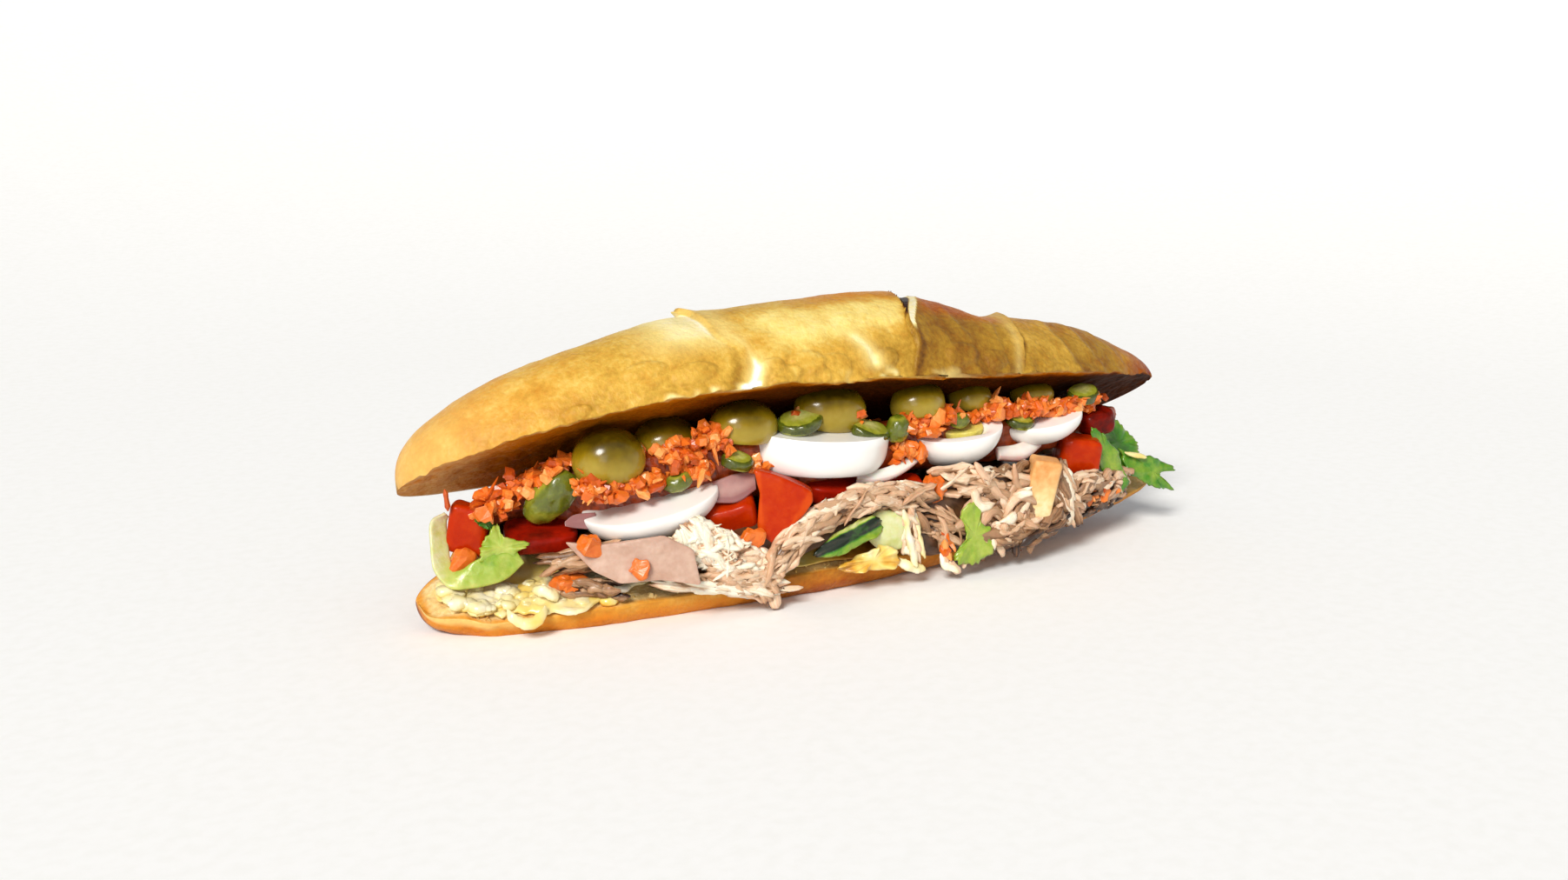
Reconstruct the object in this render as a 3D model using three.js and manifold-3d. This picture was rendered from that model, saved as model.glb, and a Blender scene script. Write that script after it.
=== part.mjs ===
// A bocadillo: a crusty roll split along its front, held open by its filling of lettuce, tuna, egg,
// tomato, onion, grated carrot, olives, gherkins and mayonnaise.
// Millimetres, +Z up. X runs along the loaf and -Y is the open front.
import * as THREE from 'three';
import { ParametricGeometry } from 'three/addons/geometries/ParametricGeometry.js';
import { mergeVertices } from 'three/addons/utils/BufferGeometryUtils.js';
import Module from 'manifold-3d';

const wasm = await Module();
wasm.setup();

const { degToRad, lerp, clamp, smoothstep } = THREE.MathUtils;

// Driving dimensions of the roll
const LID_HALF_LENGTH = 127.6;
const LID_HALF_WIDTH = 36;
const LID_THICKNESS = 37;
const LID_TILT = 32;
const LID_HEIGHT = 45.9;
const BASE_HALF_LENGTH = 126.6;
const BASE_HALF_WIDTH = 34;
const BASE_THICKNESS = 16;
const BASE_TILT = 12;
const BASE_HEIGHT = 15.3;
const CRUMB_DISH = 1.5;

// Middle of each half along X: the lid sits a little to the left and the base to the right
const LID_MIDDLE = -0.9;
const BASE_MIDDLE = 0.4;

// Clear space between pieces that touch, the thickness of the spread under the filling, and the seam
// between the tuna and the carrot above it
const GAP = 0.35;
const SPREAD = 2.2;
const SEAM = 1.1;

// How far the filling runs along the roll, as shares of its half length, how far the tuna stands out past
// the base's rim and droops over it, how far across the lid the carrot reaches, and how far back both go
const FILLING_START = -0.84;
const FILLING_END = 0.87;
const TUNA_OVERHANG = 3.2;
const TUNA_DROOP = 7.5;
const CARROT_REACH = 0.72;
const BACK_REACH = 0.68;

// Sizes of the small pieces that show on the heaps
const FLAKE = { length: 15, width: 4.2, thick: 2.6 };
const SHRED = { length: 7.5, width: 2.9, thick: 2.3 };
const FLAKE_COUNT = 72;
const SHRED_COUNT = 58;

// Where each slash in the lid runs: angle up from the front rim, then share of the half length,
// with the lips beside the cut and its depth in millimetres
const SLASHES = [
  {
    route: [[0, -0.29], [8, -0.265], [18, -0.267], [33, -0.29], [67, -0.32], [110, -0.33], [180, -0.33]],
    left: 0.2, right: 2, leftFade: 6, rightFade: 13, depth: 1.8, width: 1.6, ends: [104, 128],
  },
  {
    route: [[0, 0.128], [10, 0.153], [23, 0.153], [42, 0.19], [61, 0.222], [110, 0.27], [180, 0.28]],
    left: 1.9, right: 2.1, leftFade: 15, rightFade: 8, depth: 4, width: 1.5, ends: [100, 126],
  },
  {
    route: [[0, 0.46], [24, 0.482], [42, 0.48], [80, 0.5], [180, 0.52]],
    left: 1.5, right: 0.1, leftFade: 6, rightFade: 4, depth: 0.6, width: 1.4, ends: [92, 118],
  },
];

const CRUST = { color: '#d79b3d', roughness: 0.55 };
const UNDERSIDE = { color: '#c8842f', roughness: 0.6 };
const SAUCE = { color: '#f2e9bf', roughness: 0.3 };
const TUNA = { color: '#cfab8f', roughness: 0.55 };
const TUNA_SLICE = { color: '#c6a294', roughness: 0.5 };
const CARROT = { color: '#ee7327', roughness: 0.45 };
const EGG_WHITE = { color: '#f6f3ec', roughness: 0.3 };
const EGG_YOLK = { color: '#e4d873', roughness: 0.6 };
const ONION = { color: '#ead9dc', roughness: 0.25 };
const TOMATO = { color: '#d5330f', roughness: 0.25 };
const OLIVE = { color: '#8f8c34', roughness: 0.25 };
const GHERKIN = { color: '#75871f', roughness: 0.3 };
const LETTUCE = { color: '#8dbb45', roughness: 0.4 };

const root = new THREE.Group();
const bocadillo = new THREE.Group();
root.add(bocadillo);

// A repeatable stream of numbers from 0 to 1
function stream(seed) {
  let state = seed;
  return () => {
    state = (state * 1664525 + 1013904223) % 4294967296;
    return state / 4294967296;
  };
}

// A power that keeps the sign, for rounded corners
function sharp(value, power) {
  return Math.sign(value) * Math.abs(value) ** power;
}

// Straight lines through the points of a route
function along(route, x) {
  const next = route.findIndex(([at]) => at > x);
  if (next < 1) return next === 0 ? route[0][1] : route.at(-1)[1];
  const [x0, y0] = route[next - 1];
  const [x1, y1] = route[next];
  return lerp(y0, y1, (x - x0) / (x1 - x0));
}

// 1 at the widest place of the roll and 0 at both tips; a small second power makes a blunt tip
function swell(s, peak, left, right) {
  const [inner, outer] = s < peak ? left : right;
  const far = s < peak ? (peak - s) / (1 + peak) : (s - peak) / (1 - peak);
  return Math.max(0, 1 - far ** inner) ** outer;
}

// Soft unevenness between -1 and 1 with a wavelength of about 20 mm
function bumps(x, y, z) {
  return (Math.sin(0.29 * x + 1.1) * Math.cos(0.33 * y + 0.6) + Math.sin(0.37 * z + 0.21 * x + 2.3)) / 2;
}

// The lid's section at a share s of its half length: half width, thickness, tilt and the middle of its
// cut face
function lidSection(s) {
  const crest = 2.0 * Math.exp(-(((s - 0.1) / 0.2) ** 2)) + 1.2 * Math.exp(-(((s + 0.34) / 0.1) ** 2));
  return {
    width: LID_HALF_WIDTH * swell(s, 0, [2.55, 0.49], [1.96, 0.52]),
    thick: (LID_THICKNESS - 1) * swell(s, 0.2, [1.5, 0.33], [1.35, 0.58]) + crest,
    tilt: degToRad(LID_TILT + 3 * s),
    y: -5.6 + 2.5 * s * s,
    z: LID_HEIGHT - 5.5 * s - 6.5 * s ** 2 + 9.8 * s ** 3 + 2.8 * s ** 4,
  };
}

// The base's section, the same way, opened a little more at its left end, which droops at its tip
function baseSection(s) {
  const fullness = swell(s, -0.17, [2.65, 0.32], [1.75, 0.7]);
  const droop = Math.max(0, -s) ** 14;
  return {
    width: BASE_HALF_WIDTH * fullness,
    thick: BASE_THICKNESS * fullness,
    tilt: degToRad(BASE_TILT + 3 * (Math.sqrt(s * s + 0.04) - s)),
    y: -1.5 - 4 * s * s - 3 * droop,
    z: BASE_HEIGHT - 0.25 * s - 0.5 * s ** 2 + 1.1 * s ** 3 - 3.3 * s ** 4 - 5.5 * droop,
  };
}

// Height of the lid's cut plane over a place in plan
function lidHeight(x, y) {
  const { tilt, y: middle, z } = lidSection(clamp((x - LID_MIDDLE) / LID_HALF_LENGTH, -1, 1));
  return z - (y - middle) * Math.tan(tilt);
}

// Height of the base's cut plane over a place in plan
function baseHeight(x, y) {
  const { tilt, y: middle, z } = baseSection(clamp((x - BASE_MIDDLE) / BASE_HALF_LENGTH, -1, 1));
  return z + (y - middle) * Math.tan(tilt);
}

// A closed solid from a parametric surface: shared corners merged, needles dropped, faces turned outwards
function closed(geometry) {
  geometry.deleteAttribute('normal');
  geometry.deleteAttribute('uv');
  const merged = mergeVertices(geometry, 1e-3);
  const source = merged.index.array;
  const kept = [];
  for (let i = 0; i < source.length; i += 3) {
    const [a, b, c] = [source[i], source[i + 1], source[i + 2]];
    if (a !== b && b !== c && c !== a) kept.push(a, b, c);
  }
  merged.setIndex(signedVolume(merged.attributes.position.array, kept) < 0 ? kept.reverse() : kept);
  return merged;
}

// Six times the volume inside a set of triangles, negative when they face inwards
function signedVolume(points, triangles) {
  const [a, b, c] = [new THREE.Vector3(), new THREE.Vector3(), new THREE.Vector3()];
  let total = 0;
  for (let i = 0; i < triangles.length; i += 3) {
    a.fromArray(points, 3 * triangles[i]);
    b.fromArray(points, 3 * triangles[i + 1]);
    c.fromArray(points, 3 * triangles[i + 2]);
    total += a.dot(b.cross(c));
  }
  return total;
}

function toSolid(geometry) {
  const mesh = new wasm.Mesh({
    numProp: 3,
    vertProperties: new Float32Array(geometry.attributes.position.array),
    triVerts: new Uint32Array(geometry.index.array),
  });
  return new wasm.Manifold(mesh);
}

// The largest separate body of a solid, as a geometry, so that no loose scrap stays
function toGeometry(solid) {
  const { vertProperties, triVerts } = solid.getMesh();
  const owner = Array.from({ length: vertProperties.length / 3 }, (_, i) => i);
  const find = (i) => {
    let at = i;
    while (owner[at] !== at) at = owner[at] = owner[owner[at]];
    return at;
  };
  for (let i = 0; i < triVerts.length; i += 3) {
    owner[find(triVerts[i])] = find(triVerts[i + 1]);
    owner[find(triVerts[i + 1])] = find(triVerts[i + 2]);
  }
  const bodies = new Map();
  for (let i = 0; i < triVerts.length; i += 3) {
    const key = find(triVerts[i]);
    if (!bodies.has(key)) bodies.set(key, []);
    bodies.get(key).push(triVerts[i], triVerts[i + 1], triVerts[i + 2]);
  }
  const volumes = [...bodies.values()].map((body) => [signedVolume(vertProperties, body), body]);
  const [, largest] = volumes.reduce((best, entry) => (entry[0] > best[0] ? entry : best));
  const numbers = new Map();
  const points = [];
  const index = largest.map((corner) => {
    if (!numbers.has(corner)) {
      numbers.set(corner, numbers.size);
      points.push(...vertProperties.subarray(3 * corner, 3 * corner + 3));
    }
    return numbers.get(corner);
  });
  const geometry = new THREE.BufferGeometry();
  geometry.setAttribute('position', new THREE.Float32BufferAttribute(points, 3));
  geometry.setIndex(index);
  return geometry;
}

function isEmpty(solid) {
  return solid.getMesh().triVerts.length === 0;
}

function addNode(name, geometry, { color, roughness }) {
  const material = new THREE.MeshStandardMaterial({ color, roughness, metalness: 0 });
  const mesh = new THREE.Mesh(geometry, material);
  mesh.name = name;
  bocadillo.add(mesh);
}

function place(geometry, at, turn = [0, 0, 0]) {
  const euler = new THREE.Euler(...turn.map(degToRad));
  const matrix = new THREE.Matrix4().makeRotationFromEuler(euler).setPosition(...at);
  return geometry.applyMatrix4(matrix);
}

// Relief of the slashes at a share s and an angle up from the front rim, in millimetres outwards
function slashRelief(s, angle) {
  let relief = 0;
  for (const slash of SLASHES) {
    const across = (s - slashColumn(slash)) * LID_HALF_LENGTH;
    const fade = across < 0 ? slash.leftFade : slash.rightFade;
    const lip = (across < 0 ? slash.left : slash.right) * Math.exp(-Math.abs(across) / fade);
    const open = smoothstep(angle, 12, 55);
    const cut = slash.depth * (0.35 + 0.65 * open) * Math.exp(-((across / slash.width) ** 2));
    relief += (lip - cut) * (1 - smoothstep(angle, ...slash.ends));
  }
  return relief;
}

// The grid column that follows a slash, at its place 30 degrees up the crust
function slashColumn(slash) {
  return along(slash.route, 30);
}

// Bends the grid columns beside a slash so that they follow its route
function followSlashes(s, angle) {
  let bent = s;
  for (const slash of SLASHES) {
    const column = slashColumn(slash);
    bent += (along(slash.route, angle) - column) * Math.exp(-(((s - column) / 0.13) ** 2));
  }
  return bent;
}

// Columns along a roll, closer together towards the tips and beside each slash
function columns(count, slashes) {
  const even = Array.from({ length: count + 1 }, (_, i) => (2 * i) / count - 1);
  const list = even.map((t) => (Math.abs(t) === 1 ? t : lerp(t, Math.sin((t * Math.PI) / 2), 0.75)));
  const beside = slashes.flatMap((slash) =>
    [-6, -2.2, -0.8, 0, 0.8, 2.2, 7].map((x) => slashColumn(slash) + x / LID_HALF_LENGTH));
  const clear = list.filter((s) => beside.every((other) => Math.abs(s - other) > 0.02));
  return [...clear, ...beside].sort((a, b) => a - b);
}

// A bread half as a closed surface: crust from the front rim round to the back rim, then the cut face
function breadHalf({ shares, crustSteps, crumbSteps, point }) {
  const around = crustSteps + crumbSteps;
  const shell = (u, v, target) => {
    const s = shares[Math.round(u * (shares.length - 1))];
    const step = Math.round(v * around) % around;
    if (step <= crustSteps) {
      point(s, 180 * (step / crustSteps) ** 1.2, 0, target);
    } else {
      point(s, 180, (step - crustSteps) / crumbSteps, target);
    }
  };
  return closed(new ParametricGeometry(shell, shares.length - 1, around));
}

// One point of the lid: an angle round the crust, then a share of the way back across the cut face
function lidPoint(s, angle, inside, target, grow = 0) {
  const bent = followSlashes(s, angle);
  const { width, thick, tilt, y, z } = lidSection(bent);
  const turn = degToRad(angle);
  const faded = clamp(Math.sin(turn) / 0.25, 0, 1) * clamp(width / 12, 0, 1);
  const relief = inside ? 0 : slashRelief(s, angle) * faded;
  const across = inside ? 1 - 2 * inside : -sharp(Math.cos(turn), 0.9);
  const tip = Math.abs(s) === 1 ? 0 : 1;
  const edge = tip * (across * (width + grow) - relief * Math.cos(turn));
  const dished = CRUMB_DISH * (1 - across ** 2) * clamp(width / 20, 0, 1) - grow;
  const rim = Math.sin(turn) > 0.02 ? 0 : grow;
  const domed = (thick + grow) * Math.sin(turn) ** 0.85 + relief * Math.sin(turn) - rim;
  const out = tip * (inside ? dished : domed);
  target.set(
    LID_MIDDLE + (LID_HALF_LENGTH + grow) * bent,
    y + edge * Math.cos(tilt) + out * Math.sin(tilt),
    z - edge * Math.sin(tilt) + out * Math.cos(tilt),
  );
}

// One point of the base, the same way with its crust below; the underside is pressed flat where it rests
function basePoint(s, angle, inside, target, grow = 0) {
  const { width, thick, tilt, y, z } = baseSection(s);
  const turn = degToRad(angle);
  const across = inside ? 1 - 2 * inside : -sharp(Math.cos(turn), 0.9);
  const tip = Math.abs(s) === 1 ? 0 : 1;
  const edge = tip * across * (width + grow);
  const rim = Math.sin(turn) <= 0.02;
  const out = tip * (inside || rim ? -grow : (thick + grow) * Math.sin(turn) ** 0.7);
  target.set(
    BASE_MIDDLE + (BASE_HALF_LENGTH + grow) * s,
    y + edge * Math.cos(tilt) + out * Math.sin(tilt),
    Math.max(z + edge * Math.sin(tilt) - out * Math.cos(tilt), -grow),
  );
}

function lidShell(grow) {
  return breadHalf({
    shares: columns(26, SLASHES),
    crustSteps: 13,
    crumbSteps: 4,
    point: (s, angle, inside, target) => lidPoint(s, angle, inside, target, grow),
  });
}

function baseShell(grow) {
  return breadHalf({
    shares: columns(32, []),
    crustSteps: 12,
    crumbSteps: 4,
    point: (s, angle, inside, target) => basePoint(s, angle, inside, target, grow),
  });
}

// A rounded solid: half sizes along its own axes, how square it is in plan and in profile, and flats
// that cut it below and above its middle, as shares of its half height
function pebble({ at, size, turn, plan = 1, side = 1, low = 1, high = 1, sides = 9, rings = 5 }, grow = 0) {
  const [a, b, c] = size.map((full) => full / 2 + grow);
  const bottom = -low * c - (low < 1 ? grow : 0);
  const top = high * c + (high < 1 ? grow : 0);
  const surface = (u, v, target) => {
    const theta = 2 * Math.PI * (Math.round(u * sides) % sides) / sides;
    const phi = Math.PI * (v - 0.5);
    const flat = Math.abs(Math.cos(phi)) < 1e-6 ? 0 : Math.cos(phi) ** side;
    target.set(
      a * flat * sharp(Math.cos(theta), plan),
      b * flat * sharp(Math.sin(theta), plan),
      clamp(c * sharp(Math.sin(phi), side), bottom, top),
    );
  };
  return place(closed(new ParametricGeometry(surface, sides, rings)), at, turn);
}

// A slab cut to an outline in its own upright plane, with a small bevel
function slab({ at, outline, thick, turn, bevel = 0.8 }, grow = 0) {
  const reach = outline.reduce((sum, [x, y]) => sum + Math.hypot(x, y), 0) / outline.length;
  const spread = (reach + grow * 1.6) / reach;
  const shape = new THREE.Shape(outline.map(([x, y]) => new THREE.Vector2(x * spread, y * spread)));
  const geometry = new THREE.ExtrudeGeometry(shape, {
    depth: thick - 2 * bevel + 2 * grow,
    bevelThickness: bevel,
    bevelSize: bevel,
    bevelOffset: -bevel,
    bevelSegments: 1,
    steps: 1,
  });
  geometry.translate(0, 0, bevel - thick / 2 - grow);
  geometry.rotateX(Math.PI / 2);
  return place(closed(geometry), at, turn);
}

// A thin wavy sheet between a lower and an upper edge, both faces split alike, with a narrow rim; a leaf's
// rib makes its first end thicker
function sheet({ lower, upper, thick, wave, steps, rows = 3, rib = 0 }, grow = 0) {
  const edges = [lower, upper].map((points) =>
    new THREE.CatmullRomCurve3(points.map((point) => new THREE.Vector3(...point))));
  const middle = (u, v) => {
    const point = edges[0].getPoint(u).lerp(edges[1].getPoint(u), v);
    const ripple = wave * Math.sin(u * steps * 1.3 + 2.4 * v) * (0.35 + 0.65 * v);
    point.y += ripple;
    return point;
  };
  const extend = (t) => (t === 0 ? -grow : t === 1 ? grow : 0);
  const points = [];
  for (const face of [1, -1]) {
    for (let i = 0; i <= steps; i += 1) {
      for (let j = 0; j <= rows; j += 1) {
        const [u, v] = [i / steps, j / rows];
        const here = middle(u, v);
        const du = middle(Math.min(u + 0.01, 1), v).sub(middle(Math.max(u - 0.01, 0), v)).normalize();
        const dv = middle(u, Math.min(v + 0.05, 1)).sub(middle(u, Math.max(v - 0.05, 0))).normalize();
        const normal = du.clone().cross(dv).normalize();
        const rim = u === 0 || u === 1 || v === 0 || v === 1;
        const full = thick + rib * Math.exp(-((u / 0.12) ** 2));
        here.addScaledVector(normal, face * ((rim ? 0.3 : 0.5) * full + grow));
        here.addScaledVector(du, extend(u)).addScaledVector(dv, extend(v));
        points.push(here.x, here.y, here.z);
      }
    }
  }
  return closed(sheetMesh(points, steps, rows));
}

// Triangles of a sheet: its two faces and the rim that joins them
function sheetMesh(points, steps, rows) {
  const back = (steps + 1) * (rows + 1);
  const id = (i, j) => i * (rows + 1) + j;
  const index = [];
  const quad = (a, b, c, d) => index.push(a, b, c, a, c, d);
  for (let i = 0; i < steps; i += 1) {
    for (let j = 0; j < rows; j += 1) {
      const [a, b, c, d] = [id(i, j), id(i + 1, j), id(i + 1, j + 1), id(i, j + 1)];
      index.push(a, b, c, a, c, d);
      index.push(back + a, back + c, back + b, back + a, back + d, back + c);
    }
    quad(id(i + 1, 0), id(i, 0), back + id(i, 0), back + id(i + 1, 0));
    quad(id(i, rows), id(i + 1, rows), back + id(i + 1, rows), back + id(i, rows));
  }
  for (let j = 0; j < rows; j += 1) {
    quad(id(0, j), id(0, j + 1), back + id(0, j + 1), back + id(0, j));
    quad(id(steps, j + 1), id(steps, j), back + id(steps, j), back + id(steps, j + 1));
  }
  const geometry = new THREE.BufferGeometry();
  geometry.setAttribute('position', new THREE.Float32BufferAttribute(points, 3));
  geometry.setAttribute('normal', new THREE.Float32BufferAttribute(points.length, 3));
  geometry.setIndex(index);
  return geometry;
}

// A bent strip of fish or carrot, tapered to its ends
function strip({ at, length, width, thick, turn, bend, parts = 1 }, grow = 0) {
  const geometry = new THREE.BoxGeometry(length + 2 * grow, width + 2 * grow, thick + 2 * grow, parts, 1, 1);
  const position = geometry.attributes.position;
  for (let i = 0; i < position.count; i += 1) {
    const reach = (2 * position.getX(i)) / length;
    const narrow = 1 - 0.4 * Math.abs(reach);
    position.setY(i, position.getY(i) * narrow);
    position.setZ(i, position.getZ(i) * narrow - bend * reach * reach);
  }
  return place(closed(geometry), at, turn);
}

// Front edge of the base in plan
function baseRim(s) {
  const { width, tilt, y } = baseSection(s);
  return y - width * Math.cos(tilt);
}

// How far the tuna droops over the base's rim: on the right half of the roll, and less beside its slice
function droopDepth(s) {
  const right = smoothstep(s, 0.04, 0.2) * (1 - smoothstep(s, 0.62, 0.78));
  return TUNA_DROOP * (right + 0.4 * Math.exp(-(((s + 0.27) / 0.12) ** 2)));
}

// Front face of the tuna in plan: just past the base's rim, set back towards the left tip
function tunaFront(s) {
  const overhang = TUNA_OVERHANG + 0.3 * droopDepth(s);
  return lerp(-9, baseRim(s) - overhang, smoothstep(s, -0.84, -0.5));
}

// Underside of the tuna: on the spread, and below the base's rim where it droops over it
function tunaLow(x, y) {
  const s = clamp(x / LID_HALF_LENGTH, -1, 1);
  return baseHeight(x, y) + SPREAD + 2 * GAP - droopDepth(s) * smoothstep(baseRim(s) - y, -0.5, 2);
}

// Front face of the carrot in plan, under the lid and behind its rim
function carrotFront(s) {
  const { width, tilt, y } = lidSection(s);
  return lerp(-6, y - CARROT_REACH * width * Math.cos(tilt), smoothstep(s, -0.84, -0.55));
}

// Back face of both heaps, inside the hinge of the roll
function fillingBack(s) {
  const { width, y } = baseSection(s);
  return y + BACK_REACH * width;
}

// Height of the seam between the tuna and what lies on it
function seamHeight(x, y) {
  const s = clamp(x / LID_HALF_LENGTH, -1, 1);
  const share = 0.35 + 0.1 * s + 0.03 * bumps(x, y, 0);
  const lowest = baseHeight(x, y) + SPREAD + 2 * GAP + 1;
  return Math.max(lerp(baseHeight(x, y), lidHeight(x, y), share), lowest);
}

// A layer of filling between two heights, its section a rounded block that closes at both ends
function layer({ start, end, front, low, high, steps, sides }) {
  const surface = (u, v, target) => {
    const t = 2 * u - 1;
    const share = lerp(start, end, 0.5 + 0.5 * lerp(t, Math.sin((t * Math.PI) / 2), 0.5));
    const fullness = Math.max(0, 1 - Math.abs(t) ** 4) ** 0.5;
    const turn = 2 * Math.PI * (Math.round(v * sides) % sides) / sides;
    const x = share * LID_HALF_LENGTH;
    const [near, far] = [front(share), fillingBack(share)];
    const across = sharp(Math.cos(turn), 0.4) * fullness;
    const y = (near + far) / 2 + (across * (far - near)) / 2;
    const rise = 0.5 + 0.5 * sharp(Math.sin(turn), 0.4) * fullness;
    target.set(x, y, lerp(low(x, y), Math.max(high(x, y), low(x, y) + 0.4), rise));
  };
  return closed(new ParametricGeometry(surface, steps, sides));
}

function tunaCore() {
  return layer({
    start: FILLING_START,
    end: FILLING_END,
    front: tunaFront,
    low: tunaLow,
    high: seamHeight,
    steps: 22,
    sides: 12,
  });
}

function carrotCore() {
  return layer({
    start: FILLING_START - 0.05,
    end: FILLING_END + 0.01,
    front: carrotFront,
    low: (x, y) => seamHeight(x, y) + SEAM,
    high: carrotTop,
    steps: 22,
    sides: 12,
  });
}

// Top of the carrot: against the lid at the back, sinking away from it towards the front and the left tip
function carrotTop(x, y) {
  return lidHeight(x, y) - GAP - 8.5 * smoothstep(-y, 4, 28) - 10.5 * smoothstep(-x, 78, 110);
}

// Mayonnaise spread on the base, in low waves, a little past the rim where it was pressed out
function mayonnaise(grow) {
  const surface = (u, v, target) => {
    const t = 2 * u - 1;
    const share = -0.03 + 0.9 * lerp(t, Math.sin((t * Math.PI) / 2), 0.6);
    const { width, y: middle } = baseSection(share);
    const turn = 2 * Math.PI * (Math.round(v * 10) % 10) / 10;
    const fullness = Math.max(0, 1 - t ** 6) ** 0.5;
    const x = share * BASE_HALF_LENGTH;
    const pressed = 1.5 * Math.exp(-(((x + 82) / 14) ** 2)) + 2.5 * Math.exp(-(((x - 12) / 16) ** 2));
    const near = middle - width * 0.9 - pressed - grow;
    const far = middle + width * 0.8 + grow;
    const y = (near + far) / 2 + (sharp(Math.cos(turn), 0.4) * fullness * (far - near)) / 2;
    const thick = SPREAD - 0.5 + 0.5 * bumps(2 * x, 2 * y, 0);
    const rise = 0.5 + 0.5 * sharp(Math.sin(turn), 0.4) * fullness;
    target.set(x, y, baseHeight(x, y) + GAP - grow + rise * (thick + 2 * grow));
  };
  return closed(new ParametricGeometry(surface, 26, 10));
}

// What the pieces of each kind share: halved eggs, olives, gherkins, tomato dice, angular scraps of carrot,
// onion rings and leaves
const EGG_FORM = { look: EGG_WHITE, make: pebble, sides: 14, rings: 7 };
const OLIVE_FORM = { look: OLIVE, make: pebble };
const GHERKIN_FORM = { look: GHERKIN, make: pebble };
const TOMATO_FORM = { look: TOMATO, make: pebble, sides: 8, rings: 5 };
const CARROT_FORM = { look: CARROT, make: pebble, plan: 0.7, side: 0.7, sides: 6, rings: 4 };
const ONION_FORM = { look: ONION, make: sheet, rows: 2 };
const LEAF_FORM = { look: LETTUCE, make: sheet };

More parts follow.
